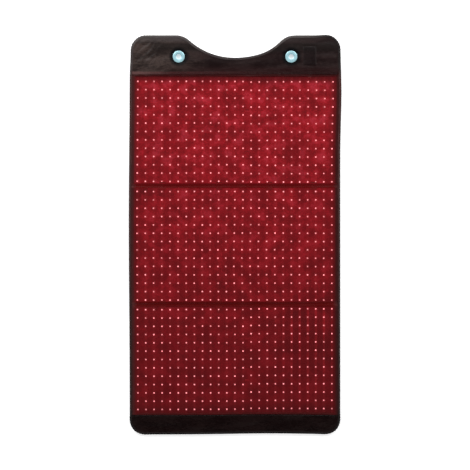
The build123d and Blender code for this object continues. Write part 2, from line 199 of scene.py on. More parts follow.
def edge_distance(x, y):
    """About how far a point lies inside the outline."""
    side = HALF_W - np.abs(x)
    return np.minimum(side, np.minimum(head_edge(x) - y, y - foot_edge(x)))


def settle(x, y):
    """Where a point of the flat mat lies: its edges wander in and out by a few millimetres,
    which dies away towards the middle, and its foot corners are spread a little."""
    left_in = 1 - 4 * bump(y - 0.03, 0.4) + 4 * smooth_step(y, 0.58, 0.72)
    right_out = -1 + 5 * bump(y - 0.54, 0.14)
    foot_in = 1 + 4 * bump(x - 0.13, 0.2)
    head_out = -1 - 5 * bump(x - 0.13, 0.06) + 3 * smooth_step(x, 0.3, 0.38)
    near_left = smooth_step(-x, 0.18, 0.39)
    near_right = smooth_step(x, 0.18, 0.39)
    near_foot = smooth_step(-y, 0.60, 0.755)
    near_head = 1 - smooth_step(head_edge(x) - y, 0.004, 0.06)
    corner = bump(np.hypot(np.abs(x) - 0.375, y + 0.735), 0.038)
    moved_x = x + 0.001 * (left_in * near_left + right_out * near_right + 3.0 * corner * np.sign(x))
    return moved_x, y + 0.001 * (foot_in * near_foot + head_out * near_head - 3.0 * corner)


# ==== making meshes =======================================================================
def new_piece(name, points, faces, smooth_angle=40.0):
    """A mesh object at the origin, from an array of points and a list of face arrays."""
    mesh = bpy.data.meshes.new(name)
    mesh.from_pydata(points.reshape(-1, 3).tolist(), [], [f for group in faces for f in group.tolist()])
    mesh.validate()
    mesh.polygons.foreach_set("use_smooth", np.ones(len(mesh.polygons), bool))
    mesh.set_sharp_from_angle(angle=math.radians(smooth_angle))
    piece = bpy.data.objects.new(name, mesh)
    bpy.context.scene.collection.objects.link(piece)
    return piece


def set_map(piece, name, plan):
    """A UV map from one pair of numbers a vertex."""
    mesh = piece.data
    layer = mesh.uv_layers.new(name=name)
    corners = np.zeros(len(mesh.loops), np.int32)
    mesh.loops.foreach_get("vertex_index", corners)
    layer.data.foreach_set("uv", plan.reshape(-1, 2)[corners].astype(np.float32).ravel())


def graded(low, high, spacing, places=(), reach=0.012, finer=3.0):
    """Numbers from low to high, spacing apart, and finer times closer near the places."""
    steps = np.linspace(low, high, 20001)
    density = np.ones_like(steps)
    for place in places:
        density = np.maximum(density, 1 + (finer - 1) * bump(steps - place, reach))
    total = np.concatenate([[0], np.cumsum((density[1:] + density[:-1]) / 2)])
    count = int(math.ceil(total[-1] * (steps[1] - steps[0]) / spacing)) + 1
    return np.interp(np.linspace(0, total[-1], count), total, steps)


def mat_columns(inset, spacing, places=()):
    """X of the columns of a sheet as wide as the mat: graded, and then at even angles
    round the corner arcs."""
    bend_from = HALF_W - FOOT_CORNER_R
    middle = graded(-bend_from, bend_from, spacing, places)
    angles = np.linspace(0, math.pi / 2, 16)[1:]
    bend = bend_from + (HALF_W - inset - bend_from) * np.sin(angles)
    return np.concatenate([-bend[::-1], middle, bend])


def even_plan(x, low_y, high_y, rows):
    """A plan whose columns stand at x and are divided evenly from low_y to high_y."""
    share = np.linspace(0, 1, rows)[:, None]
    y = low_y[None, :] + share * (high_y - low_y)[None, :]
    return np.repeat(x[None, :], rows, 0), y


def eased_plan(x, y, low_y=None, high_y=None, ramp=0.17):
    """A plan of straight rows y that ease, over the last ramp of their run, into the edge
    curve low_y or high_y over x."""
    plan_y = np.repeat(y[:, None], len(x), 1)
    if low_y is not None:
        share = np.clip((y[0] + ramp - y) / ramp, 0, 1)[:, None]
        plan_y = plan_y + share * (low_y - y[0])[None, :]
    if high_y is not None:
        share = np.clip((y - y[-1] + ramp) / ramp, 0, 1)[:, None]
        plan_y = plan_y + share * (high_y - y[-1])[None, :]
    return np.repeat(x[None, :], len(y), 0), plan_y


def rim_edges(faces):
    """The directed edges of a set of quads that no other quad shares."""
    edges = np.concatenate([faces[:, [k, (k + 1) % 4]] for k in range(4)])
    size = int(faces.max()) + 1
    keys = edges[:, 0].astype(np.int64) * size + edges[:, 1]
    back = edges[:, 1].astype(np.int64) * size + edges[:, 0]
    return edges[~np.isin(keys, back)]


def slab(name, plan, top, bottom, holes=()):
    """A closed sheet over a plan of (x, y) grids: top(x, y) and bottom(x, y) are the heights
    of its faces, and a rim joins them. Quads in a hole (x, y, radius) are left out, and the
    points round it are moved straight out or in to its radius."""
    x, y = plan
    rows, columns = x.shape
    i, j = np.meshgrid(np.arange(rows - 1), np.arange(columns - 1), indexing="ij")
    first = (i * columns + j).ravel()
    faces = np.stack([first, first + 1, first + 1 + columns, first + columns], 1)
    x = x.ravel().copy()
    y = y.ravel().copy()
    for hole_x, hole_y, radius in holes:
        middle = np.hypot(x[faces].mean(1) - hole_x, y[faces].mean(1) - hole_y)
        faces = faces[middle > radius]
        rim = np.unique(rim_edges(faces))
        away = np.hypot(x[rim] - hole_x, y[rim] - hole_y)
        rim, away = rim[away < 1.7 * radius], away[away < 1.7 * radius]
        x[rim] = hole_x + (x[rim] - hole_x) * radius / away
        y[rim] = hole_y + (y[rim] - hole_y) * radius / away
    at_x, at_y = settle(x, y)
    upper = np.stack([at_x, at_y, top(x, y)], 1)
    lower = np.stack([at_x, at_y, bottom(x, y)], 1)
    count = rows * columns
    rim = rim_edges(faces)
    wall = np.stack([rim[:, 1], rim[:, 0], rim[:, 0] + count, rim[:, 1] + count], 1)
    used, renumbered = np.unique(
        np.concatenate([faces, faces[:, ::-1] + count, wall]), return_inverse=True
    )
    piece = new_piece(name, np.concatenate([upper, lower])[used], [renumbered.reshape(-1, 4)])
    flat = np.stack([x, y], 1)
    set_map(piece, "flat", np.concatenate([flat, flat])[used])
    return piece


def plan_area(plan):
    """The area of a plan: half the cross product of each quad's diagonals, added up."""
    x, y = plan
    across_x, across_y = x[1:, 1:] - x[:-1, :-1], y[1:, 1:] - y[:-1, :-1]
    other_x, other_y = x[1:, :-1] - x[:-1, 1:], y[1:, :-1] - y[:-1, 1:]
    return float(np.abs(across_x * other_y - across_y * other_x).sum() / 2)


def run_path(segments, spacing):
    """Points and outward normals along a chain of lines (x0, y0, x1, y1) and arcs (centre x,
    centre y, radius, from, to) in degrees. An arc that runs clockwise has its centre
    outside. The chain runs anticlockwise round the mat."""
    points, normals = [], []
    for segment in segments:
        if len(segment) == 4:
            start = np.array(segment[:2])
            run = np.array(segment[2:]) - start
            length = np.linalg.norm(run)
            share = np.linspace(0, 1, max(2, int(length / spacing) + 1))[:-1, None]
            points.append(start + share * run)
            normal = np.array([run[1], -run[0]]) / length
            normals.append(np.repeat(normal[None, :], len(share), 0))
        else:
            centre_x, centre_y, radius, start, end = segment
            length = abs(math.radians(end - start)) * radius
            angle = np.radians(np.linspace(start, end, max(8, int(length / spacing) + 1))[:-1])
            ray = np.stack([np.cos(angle), np.sin(angle)], 1)
            points.append(np.array([centre_x, centre_y]) + radius * ray)
            normals.append(ray if end > start else -ray)
    return np.concatenate(points), np.concatenate(normals)


def head_outline():
    """The outline from the meeting line up the right edge, round the head and down again."""
    meet = math.degrees(MEET_ANGLE)
    corner_x = HALF_W - HEAD_CORNER_R
    corner_y = HALF_L - HEAD_CORNER_R
    return [
        (HALF_W, MEETING_Y, HALF_W, corner_y),
        (corner_x, corner_y, HEAD_CORNER_R, 0, 90),
        (corner_x, HALF_L, SHOULDER_X, HALF_L),
        (SHOULDER_X, SHOULDER_Y, SHOULDER_R, 90, 180 - meet),
        (0, NECK_Y, NECK_R, -meet, meet - 180),
        (-SHOULDER_X, SHOULDER_Y, SHOULDER_R, meet, 90),
        (-SHOULDER_X, HALF_L, -corner_x, HALF_L),
        (-corner_x, corner_y, HEAD_CORNER_R, 90, 180),
        (-HALF_W, corner_y, -HALF_W, MEETING_Y),
    ]


def foot_outline():
    """The outline from the meeting line down the left edge, round the foot and up again."""
    corner_x = HALF_W - FOOT_CORNER_R
    corner_y = -HALF_L + FOOT_CORNER_R
    return [
        (-HALF_W, MEETING_Y, -HALF_W, corner_y),
        (-corner_x, corner_y, FOOT_CORNER_R, 180, 270),
        (-corner_x, -HALF_L, corner_x, -HALF_L),
        (corner_x, corner_y, FOOT_CORNER_R, 270, 360),
        (HALF_W, corner_y, HALF_W, MEETING_Y),
    ]


def edge_path(segments, spacing):
    """Points, outward normals and running length of half the outline, its end included."""
    points, normals = run_path(segments, spacing)
    end = np.array(segments[-1][2:])
    points = np.concatenate([points, end[None, :]])
    normals = np.concatenate([normals, [[math.copysign(1, end[0]), 0]]])
    steps = np.linalg.norm(np.diff(points, axis=0), axis=1)
    return points, normals, np.concatenate([[0], np.cumsum(steps)])


def gathers(points, length):
    """The binding's ripple: a wave of about 11 mm along the tape that swells and fades, and
    is several times as high in the corners, where the tape is gathered."""
    x = np.abs(points[:, 0])
    head = smooth_step(points[:, 1], HALF_L - 1.7 * HEAD_CORNER_R, HALF_L - 0.7 * HEAD_CORNER_R)
    foot = smooth_step(-points[:, 1], HALF_L - 1.7 * FOOT_CORNER_R, HALF_L - 0.7 * FOOT_CORNER_R)
    corner = smooth_step(x, HALF_W - 0.1, HALF_W - 0.045) * np.maximum(head, foot)
    strength = 0.6 + 0.4 * soft_noise(length, 0 * length, 0.07, 0.5, 41)
    phase = 2 * math.pi * length / 0.011 + 2.2 * soft_noise(length, 0 * length, 0.05, 0.5, 42)
    return np.sin(phase) * strength * (0.00013 + 0.0006 * corner)


def soft_end(centre_x, centre_y, half_width, half_height, count):
    """Points down the left end of the superellipse |u|^3.3 + |v|^3.3 = 1, top to bottom."""
    angle = np.linspace(math.pi / 2, -math.pi / 2, count)
    u = -np.cos(angle).clip(0) ** 0.6
    v = np.sign(np.sin(angle)) * np.abs(np.sin(angle)) ** 0.6
    return [(centre_x + half_width * s, centre_y + half_height * t) for s, t in zip(u, v)]


# The binding's section, from the inner edge of its upper lip round the outside to the inner
# edge of its lower lip and back along its inside: (share of the lip, share of the height).
BINDING_SECTION = (
    [(1.00, 0.905), (1.00, 0.955), (0.93, 0.99)]
    + soft_end(0.70, 0.50, 0.70, 0.50, 11)
    + [(1.00, 0.00), (1.00, 0.075)]
    + soft_end(0.60, 0.49, 0.49, 0.405, 7)[::-1]
)


def binding(name, segments):
    """The folded tape: BINDING_SECTION carried along the outline, with the gathers lifting
    its upper lip and moving its edge in and out. Both ends are capped."""
    points, normals, length = edge_path(segments, 0.0022)
    section = np.array(BINDING_SECTION)
    ripple = gathers(points, length)[:, None]
    wander = 0.0006 * soft_noise(length, 0 * length, 0.03, 0.5, 43)[:, None]
    reach = section[None, :, 0] * BINDING_LIP + (section[None, :, 0] > 0.9) * wander
    reach = reach - ripple * (section[None, :, 0] < 0.3)
    plan = points[:, None, :] - normals[:, None, :] * reach[..., None]
    height = section[None, :, 1] * Z_BINDING + ripple * (section[None, :, 1] > 0.7)
    x, y = settle(plan[..., 0], plan[..., 1])
    count, around = height.shape
    ring = np.arange(around)
    start = (np.arange(count - 1) * around)[:, None]
    after = (ring + 1) % around
    quads = np.stack([start + ring, start + after, start + around + after, start + around + ring], -1)
    caps = [ring[None, ::-1], ring[None, :] + (count - 1) * around]
    piece = new_piece(name, np.stack([x, y, height], -1), [quads.reshape(-1, 4), *caps], 50)
    along = np.repeat(length[:, None], around, 1)
    steps = np.hypot(np.diff(section[:, 0]) * BINDING_LIP, np.diff(section[:, 1]) * Z_BINDING)
    folded = np.repeat(np.concatenate([[0], np.cumsum(steps)])[None, :], count, 0)
    set_map(piece, "tape", np.stack([along, folded], -1))
    set_map(piece, "flat", plan)
    return piece


# A stitch is a short thread that rises out of the cloth and dips back: rings of five points
# at these shares of its length, with these shares of its thickness and of its rise.
STITCH_RINGS = ((0.0, 0.35, -0.5), (0.16, 1.0, 0.7), (0.5, 1.1, 1.0), (0.84, 1.0, 0.7), (1.0, 0.35, -0.5))
STITCH_LENGTH = 0.0036
STITCH_STEP = 0.0050
THREAD_R = 0.00036


def stitches(name, starts, runs, heights):
    """A stitch at each start point along each unit run, at each height: five rings of five
    points, closed at both ends."""
    rings = np.array(STITCH_RINGS)
    turn = np.radians(np.arange(5) * 72 + 18)
    side = np.stack([runs[:, 1], -runs[:, 0]], 1)
    along = starts[:, None, :] + runs[:, None, :] * (rings[None, :, 0, None] * STITCH_LENGTH)
    spread = rings[:, 1, None] * THREAD_R * np.cos(turn)[None, :]
    plan = along[:, :, None, :] + side[:, None, None, :] * spread[None, :, :, None]
    rise = rings[:, 2, None] * THREAD_R + rings[:, 1, None] * THREAD_R * np.sin(turn)[None, :]
    x, y = settle(plan[..., 0], plan[..., 1])
    points = np.stack([x, y, heights[:, None, None] + rise[None, :, :]], -1)
    base = (np.arange(len(starts)) * 25)[:, None, None]
    ring = base + (np.arange(4) * 5)[None, :, None]
    k = np.arange(5)[None, None, :]
    after = (k + 1) % 5
    quads = np.stack([ring + k, ring + after, ring + 5 + after, ring + 5 + k], -1)
    first = base[:, 0] + np.arange(5)[None, ::-1]
    last = base[:, 0] + 20 + np.arange(5)[None, :]
    return new_piece(name, points, [quads.reshape(-1, 4), first, last], 80)


def edge_stitches(name, segments, inset):
    """A row of stitches in the binding's upper lip, inset from the edge."""
    points, normals, length = edge_path(segments, 0.0022)
    at = np.arange(0.003, length[-1] - 0.005, STITCH_STEP)
    place = np.stack([np.interp(at, length, points[:, k]) for k in (0, 1)], 1)
    normal = np.stack([np.interp(at, length, normals[:, k]) for k in (0, 1)], 1)
    run = np.stack([-normal[:, 1], normal[:, 0]], 1)
    return stitches(name, place - normal * inset, run, Z_BINDING + gathers(place, at))


def cross_stitches(name, rows, half_width, height):
    """Rows of stitches right across the mat, each at its own Y."""
    x = np.arange(-half_width, half_width - STITCH_LENGTH, STITCH_STEP)
    starts = np.concatenate([np.stack([x, np.full_like(x, y)], 1) for y in rows])
    runs = np.repeat(np.array([[1.0, 0.0]]), len(starts), 0)
    return stitches(name, starts, runs, height(starts[:, 0], starts[:, 1]))


def turned(name, centres, outline, segments=72):
    """A turned piece at each centre: a closed outline of (radius, height), anticlockwise as
    seen with the axis on its left, spun about the upright axis."""
    outline = np.array(outline)
    angle = np.linspace(0, 2 * math.pi, segments, endpoint=False)
    ray = np.stack([np.cos(angle), np.sin(angle)], 1)
    i, j = np.meshgrid(np.arange(len(outline)), np.arange(segments), indexing="ij")
    here = i * segments + j
    up = (i + 1) % len(outline) * segments + j
    here_after = i * segments + (j + 1) % segments
    up_after = (i + 1) % len(outline) * segments + (j + 1) % segments
    quads = np.stack([here, here_after, up_after, up], -1).reshape(-1, 4)
    points, faces = [], []
    for number, centre in enumerate(centres):
        plan = outline[:, None, 0, None] * ray[None, :, :] + np.array(centre)
        height = np.repeat(outline[:, 1, None], segments, 1)
        points.append(np.concatenate([plan, height[..., None]], -1).reshape(-1, 3))
        faces.append(quads + number * len(outline) * segments)
    return new_piece(name, np.concatenate(points), faces, 50)


# ==== where the lamps are =================================================================
def board_shift(name, side, x, y):
    """How far a board's points lie towards the head: its slip and a soft noise of 1 mm."""
    return 0.001 * (BOARD_SLIP[name, side] + soft_noise(x, y, 0.16, 0.16, 41))


def board_shift_x(x, y):
    """How far the boards' points lie to the right: hardly at all, but for a bow of a few
    millimetres to the left about the middle of the mat."""
    return -0.0003 - 0.0045 * bump(x - 0.035, 0.17) * bump(y + 0.09, 0.13)


def lamp_lattice(x, y):
    """Column and row numbers, with fractions, of any point over the boards as they lie."""
    u = (x - board_shift_x(x, y) - FIRST_COLUMN_X) / PITCH_X
    v = np.zeros_like(u)
    for name, side in BOARD_BOX:
        low = {"upper": UPPER_FOLD_Y, "middle": LOWER_FOLD_Y, "lower": -1.0}[name]
        high = {"upper": 1.0, "middle": UPPER_FOLD_Y, "lower": LOWER_FOLD_Y}[name]
        here = (y > low) & (y <= high) & ((x < BOARD_SPLIT_X) == (side == "left"))
        row = ROWS_BEFORE[name] + (FIRST_ROW_Y[name] - (y - board_shift(name, side, x, y))) / PITCH_Y
        v = np.where(here, row, v)
    return u, v


def lamp_distance(x, y):
    """Distance to the nearest lamp."""
    u, v = lamp_lattice(x, y)
    column = np.clip(np.round(u), 0, COLUMNS - 1)
    row = np.clip(np.round(v), 0, sum(ROWS.values()) - 1)
    return np.hypot((u - column) * PITCH_X, (v - row) * PITCH_Y)


# ==== relief of the soft faces ============================================================
def box_distance(x, y, grow):
    """Distance outside the junction box's plan grown by grow, and below 0 inside it."""
    out_x = np.abs(x - (BOX_HIGH.x + BOX_LOW.x) / 2) - (BOX_HIGH.x - BOX_LOW.x) / 2 - grow
    out_y = np.abs(y - (BOX_HIGH.y + BOX_LOW.y) / 2) - (BOX_HIGH.y - BOX_LOW.y) / 2 - grow
    outside = np.hypot(np.maximum(out_x, 0), np.maximum(out_y, 0))
    return outside + np.minimum(np.maximum(out_x, out_y), 0)


def eyelet_distance(x, y):
    """Distance to the nearer eyelet's centre."""
    return np.hypot(np.abs(x) - EYELET_X, y - EYELET_Y)


def skin_relief(x, y):
    """Height of the head and foot skin over its seat: long soft creases across the mat,
    finer slanting ones, diagonal ones in the head's left corner, a ring pressed in round each
    eyelet with folds running out of it, the raised box with a groove round it, and a dip
    where the binding holds it down."""
    long_creases = 0.0011 * soft_noise(x, y, 0.16, 0.021, 11)
    slanting = 0.0005 * soft_noise(x + 0.6 * y, y - 0.25 * x, 0.05, 0.016, 12)
    corner = bump(np.hypot(x + 0.350, y - 0.700), 0.05)
    diagonal = 2 * math.pi * (x - y) / 0.031 + 1.6 * soft_noise(x, y, 0.03, 0.03, 14)
    slanting = slanting + 0.0010 * corner * np.cos(diagonal)
    small = 0.00018 * soft_noise(x, y, 0.012, 0.009, 13)
    free = smooth_step(edge_distance(x, y), 0.008, 0.03)
    ring = eyelet_distance(x, y)
    calm = smooth_step(ring, 0.022, 0.045)
    pressed = -0.0013 * (1 - smooth_step(ring, 0.019, 0.034))
    spokes = 0.0004 * np.cos(7 * np.arctan2(y - EYELET_Y, np.abs(x) - EYELET_X) + 1.0)
    spokes = spokes * smooth_step(ring, 0.022, 0.028) * (1 - smooth_step(ring, 0.03, 0.06))
    box = box_distance(x, y, 0.001)
    raised = 0.0007 * (1 - smooth_step(box, -0.003, 0.001))
    groove = -0.0008 * smooth_step(box, -0.001, 0.002) * (1 - smooth_step(box, 0.003, 0.008))
    off_box = smooth_step(box, -0.002, 0.012)
    creases = (long_creases + slanting) * free * calm * off_box
    return creases + small * free + pressed + spokes + raised + groove - 0.0003 * (1 - free)


def skin_top(x, y):
    """The skin's upper face."""
    return Z_FACE + skin_relief(x, y)


def skin_under(x, y):
    """The skin's lower face."""
    return skin_top(x, y) - SKIN_T


def fold_valley(x, y):
    """The valley pressed into the front along each fold, whose line wanders a little."""
    depth = 0.0
    for fold, slant, seed in ((UPPER_FOLD_Y, 0.0, 23), (LOWER_FOLD_Y, 0.008, 24)):
        line = fold + slant * x + 0.0025 * soft_noise(x, 0 * x, 0.11, 0.5, seed)
        depth = depth + 0.0022 * bump(y - line, 0.0062)
    return depth


def film_relief(x, y):
    """Height of the window film: held up by the lamps, slack between them with broad and
    fine wrinkles, pressed down along the folds, and flat beside them and along its border."""
    broad = 0.0010 * soft_noise(x, y, 0.055, 0.035, 21)
    fine = 0.0005 * soft_noise(x + 0.3 * y, y, 0.016, 0.011, 22)
    free = smooth_step(edge_distance(x, y), 0.010, 0.03)
    off_fold = np.minimum(np.abs(y - UPPER_FOLD_Y), np.abs(y - LOWER_FOLD_Y))
    off_seam = np.minimum(HEAD_SEAM_Y - y, y - FOOT_SEAM_Y)
    free = free * smooth_step(off_fold, 0.016, 0.032) * smooth_step(off_seam, 0.006, 0.02)
    on_lamp = bump(lamp_distance(x, y), 0.0075)
    slack = (broad + fine - 0.0004) * free * (1 - on_lamp)
    return slack + 0.0002 * on_lamp * free - fold_valley(x, y) - 0.0002 * (1 - free)


def film_top(x, y):
    """The window film's upper face."""
    return Z_FACE + film_relief(x, y)


def film_under(x, y):
    """The window film's lower face."""
    return film_top(x, y) - (Z_FACE - Z_FILM)


def cover_under(x, y):
    """The back cover's outer face, which the mat lies on: slack wrinkles, a low ridge along
    each fold, a step up round the edge under the binding's lower lip, and a seat round each
    eyelet for its washer."""
    free = smooth_step(edge_distance(x, y), 0.02, 0.06)
    slack = 0.0004 * (1 + soft_noise(x, y, 0.09, 0.06, 31)) * free
    ridge = 0.0007 * (bump(y - UPPER_FOLD_Y, 0.006) + bump(y - LOWER_FOLD_Y, 0.006))
    step = 0.0009 * (1 - smooth_step(edge_distance(x, y), 0.0088, 0.0112))
    flat_spot = smooth_step(np.hypot(x - INLET_X, y - INLET_Y), INLET_R + 0.004, INLET_R + 0.02)
    seat = 0.0010 * (1 - smooth_step(eyelet_distance(x, y), 0.0218, 0.0245))
    return np.maximum((slack + ridge) * flat_spot, np.maximum(step, seat))


def cover_top(x, y):
    """The back cover's inner face."""
    return np.full_like(x, Z_COVER - 0.0001)


def pocket_depth(x, y, name):
    """1 inside the pocket that a panel's boards lie in, and 0 outside it."""
    low, high = BOARD_BOX[name, "left"][0], BOARD_BOX[name, "right"][1]
    gap = 0.0016
    across = smooth_step(high.x + gap - np.abs(x), -0.001, 0.001)
    along = smooth_step(high.y + gap - y, -0.001, 0.001) * smooth_step(y - low.y + gap, -0.001, 0.001)
    return across * along


def foam_under(x, y):
    """The lower face of every foam pad."""
    return np.full_like(x, Z_COVER)


def foam_top(name):
    """A panel's foam: a low pocket for the boards inside a raised, slightly wavy rim that
    stops short of the film or skin over it."""
    def height(x, y):
        rim = np.minimum(film_under(x, y), skin_under(x, y) + 0.0004) - 0.0002
        inside = pocket_depth(x, y, name)
        return rim * (1 - inside) + (Z_POCKET - 0.0001) * inside
    return height


def head_foam_top(x, y):
    """The head foam follows the skin, and is hollow round the junction box."""
    hollow = 1 - smooth_step(box_distance(x, y, 0.0015), 0.0, 0.002)
    return (skin_under(x, y) - 0.0003) * (1 - hollow) + (Z_COVER + 0.0001) * hollow


# ==== the soft pieces =====================================================================
def blend_over(piece):
    """Bakes the piece's place into its mesh."""
    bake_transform(piece)


def make_back_covers():
    """The coated cloth of the back, in two cuts that meet under the middle panel, with a
    lining on its inner face."""
    head_x = mat_columns(COVER_EDGE, 0.005, (INLET_X, EYELET_X, -EYELET_X))
    head_y = graded(MEETING_Y, HALF_L - COVER_EDGE, 0.005, (UPPER_FOLD_Y, INLET_Y, EYELET_Y))
    head_plan = eased_plan(head_x, head_y, high_y=head_edge(head_x, COVER_EDGE), ramp=0.3)
    holes = [(INLET_X, INLET_Y, INLET_R), (EYELET_X, EYELET_Y, 0.0112), (-EYELET_X, EYELET_Y, 0.0112)]
    head = slab("back_cover_head", head_plan, cover_top, cover_under, holes)
    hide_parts("upper_back_cover", "upper_fold_back", "middle_back_cover")
    blend_over(head)
    foot_x = mat_columns(COVER_EDGE, 0.005)
    foot_y = graded(-HALF_L + COVER_EDGE, MEETING_Y, 0.005, (LOWER_FOLD_Y,))
    foot_plan = eased_plan(foot_x, foot_y, low_y=foot_edge(foot_x, COVER_EDGE))
    foot = slab("back_cover_foot", foot_plan, cover_top, cover_under)
    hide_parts("lower_back_cover", "lower_fold_back", "middle_back_cover")
    blend_over(foot)
    for piece, plan in ((head, head_plan), (foot, foot_plan)):
        flat_size(plan)
        plan_area(plan)
        piece.data.materials.append(back_leather())
        piece.data.materials.append(lining())
        up = np.zeros(3 * len(piece.data.polygons), np.float32)
        piece.data.polygons.foreach_get("normal", up)
        piece.data.polygons.foreach_set("material_index", (up[2::3] > 0.5).astype(np.int32))


def flat_size(plan):
    """Width and length of a plan."""
    x, y = plan
    return float(np.ptp(x)), float(np.ptp(y))


def make_window_films():
    """The clear front film, in two cuts that meet over the middle panel."""
    x = graded(-HALF_W + COVER_EDGE, HALF_W - COVER_EDGE, 0.0047, (-HALF_W, HALF_W))
    cuts = (
        ("window_film_head", MEETING_Y, HEAD_SEAM_Y, "upper", UPPER_FOLD_Y),
        ("window_film_foot", FOOT_SEAM_Y, MEETING_Y, "lower", LOWER_FOLD_Y),
    )
    made = []
    for name, low, high, end, fold in cuts:
        plan = np.meshgrid(x, graded(low, high, 0.0047, (fold,)))
        piece = slab(name, plan, film_top, film_under)
        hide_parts(f"{end}_window_film", f"{end}_fold_film", "middle_window_film")
        blend_over(piece)
        flat_size(plan)
        piece.data.materials.append(window_film())
        made.append(piece)
    return made


def make_skins():
    """The black skins of the head and foot strips."""
    x = mat_columns(COVER_EDGE, 0.0025, (EYELET_X, -EYELET_X))
    holes = [(side * EYELET_X, EYELET_Y, 0.0115) for side in (-1, 1)]
    head_plan = even_plan(x, np.full_like(x, HEAD_SEAM_Y), head_edge(x, COVER_EDGE), 64)
    head = slab("head_skin", head_plan, skin_top, skin_under, holes)
    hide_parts("head_front_skin")
    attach(head, UPPER)
    foot_plan = even_plan(x, foot_edge(x, COVER_EDGE), np.full_like(x, FOOT_SEAM_Y), 32)
    foot = slab("foot_skin", foot_plan, skin_top, skin_under)
    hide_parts("foot_front_skin")
    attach(foot, LOWER)
    for piece, plan, under in ((head, head_plan, "head_foam"), (foot, foot_plan, "lower_foam")):
        flat_size(plan)
        plan_area(plan)
        piece.data.materials.append(front_leather())


HEM_WIDTH = 0.0105
HEM_UP = 0.0065         # the hem's lower edge lies this far above the seam
HEM_T = 0.0009


def hem_top(x, y):
    """The hem's upper face: crowned across, rounded down to its seat along both edges, with
    a shallow trough under its stitches and slack waves along it."""
    share = np.clip((y - HEAD_SEAM_Y - HEM_UP) / HEM_WIDTH, 0, 1)
    crown = HEM_T * (0.25 + 0.75 * np.sqrt(np.clip(1 - (2 * share - 1) ** 8, 0, 1)))
    trough = -0.0003 * (bump(share - 0.22, 0.08) + bump(share - 0.78, 0.08))
    waves = 0.0002 * soft_noise(x, y, 0.018, 0.02, 51)
    return Z_FACE - 0.0002 + crown + trough + waves


def hem_under(x, y):
    """The hem's lower face, a little into the skin that it is sewn to."""
    return np.full_like(x, Z_FACE - 0.0006)


def make_hem():
    """The turned hem of the head skin, a welt just above its seam, sewn with two rows."""
    half = HALF_W - BINDING_LIP - 0.0002
    low = HEAD_SEAM_Y + HEM_UP
    plan = np.meshgrid(graded(-half, half, 0.003), graded(low, low + HEM_WIDTH, 0.0012))
    hem = slab("head_hem", plan, hem_top, hem_under)
    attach(hem, UPPER)
    hem.data.materials.append(hem_leather())
    rows = [low + share * HEM_WIDTH for share in (0.22, 0.78)]
    seam = cross_stitches("head_hem_stitches", rows, half - 0.002, hem_top)
    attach(seam, UPPER)
    foot_seam = cross_stitches("foot_seam_stitches", [FOOT_SEAM_Y - 0.0035], half - 0.002, skin_top)
    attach(foot_seam, LOWER)
    for piece in (seam, foot_seam):
        piece.data.materials.append(thread())


def make_bindings():
    """The edge tape and its row of stitches, in a head and a foot half."""
    for half, end, outline in (("head", "upper", head_outline()), ("foot", "lower", foot_outline())):
        tape = binding("edge_binding_" + half, outline)
        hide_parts(f"{end}_edge_binding", f"{end}_fold_binding", "middle_edge_binding")
        length = edge_path(outline, 0.0022)[2][-1]
        tape.data.materials.append(binding_tape())
        sewing = edge_stitches("edge_stitches_" + half, outline, 0.0066)
        sewing.data.materials.append(thread())
        for piece in (tape, sewing):
            blend_over(piece)


def make_foams():
    """The foam of the three panels and of the head strip."""
    for name, body in PANELS.items():
        low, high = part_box(name + "_foam_pad")
        ends = (BOARD_BOX[name, "left"][0].y, BOARD_BOX[name, "left"][1].y)
        x = mat_columns(COVER_EDGE, 0.008, (BOARD_BOX[name, "left"][0].x, BOARD_BOX[name, "right"][1].x))
        y = graded(low.y, high.y, 0.008, ends)
        foot = foot_edge(x, COVER_EDGE) if name == "lower" else None
        pad = slab(name + "_foam", eased_plan(x, y, low_y=foot), foam_top(name), foam_under)
        finish_foam(pad, body, name + "_foam_pad")
    x = mat_columns(COVER_EDGE, 0.005, (BOX_LOW.x, BOX_HIGH.x))
    plan = even_plan(x, np.full_like(x, HEAD_SEAM_Y), head_edge(x, COVER_EDGE), 40)
    holes = [(side * EYELET_X, EYELET_Y, 0.0115) for side in (-1, 1)]
    finish_foam(slab("head_foam", plan, head_foam_top, foam_under, holes), UPPER, "head_foam_pad")


def finish_foam(pad, body, node):
    """What every foam pad has in common."""
    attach(pad, body)
    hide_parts(node)
    pad.data.materials.append(foam())


# ==== the lamp boards =====================================================================
def make_board(name, side):
    """A soft circuit board: a thin slab that carries the lamp lattice, as it has settled, as
    a UV map. The left board reaches to the right one."""
    low, high = BOARD_BOX[name, side]
    high_x = BOARD_SPLIT_X if side == "left" else high.x
    plan = np.meshgrid(graded(low.x, high_x, 0.010), graded(low.y, high.y, 0.010))

    def top(x, y):
        return np.full_like(x, Z_LAMP)

    def under(x, y):
        return np.full_like(x, Z_BOARD + 0.0001)

    board = slab(f"{name}_lamp_board_{side}", plan, top, under)
    mesh = board.data
    co = np.zeros(len(mesh.vertices) * 3, np.float32)
    mesh.vertices.foreach_get("co", co)
    co = co.reshape(-1, 3)
    inside_x = np.where(side == "left", np.minimum(co[:, 0], BOARD_SPLIT_X - 1e-6), co[:, 0])
    set_map(board, "lattice", np.stack(lamp_lattice(inside_x, co[:, 1]), 1))
    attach(board, PANELS[name])
    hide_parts(f"{name}_led_board_{side}")
    mesh.materials.append(lamp_board())


# A lamp package: a square body with a bevelled rim and an eight-sided lens that stands a
# little proud of it. Half sizes are shares of the package's half width.
LAMP_SQUARES = ((0.94, 0.0), (1.0, 0.12), (1.0, 0.82), (0.88, 0.92))
LENS_RINGS = ((0.78, 0.92), (0.66, 0.985), (0.34, 1.0))


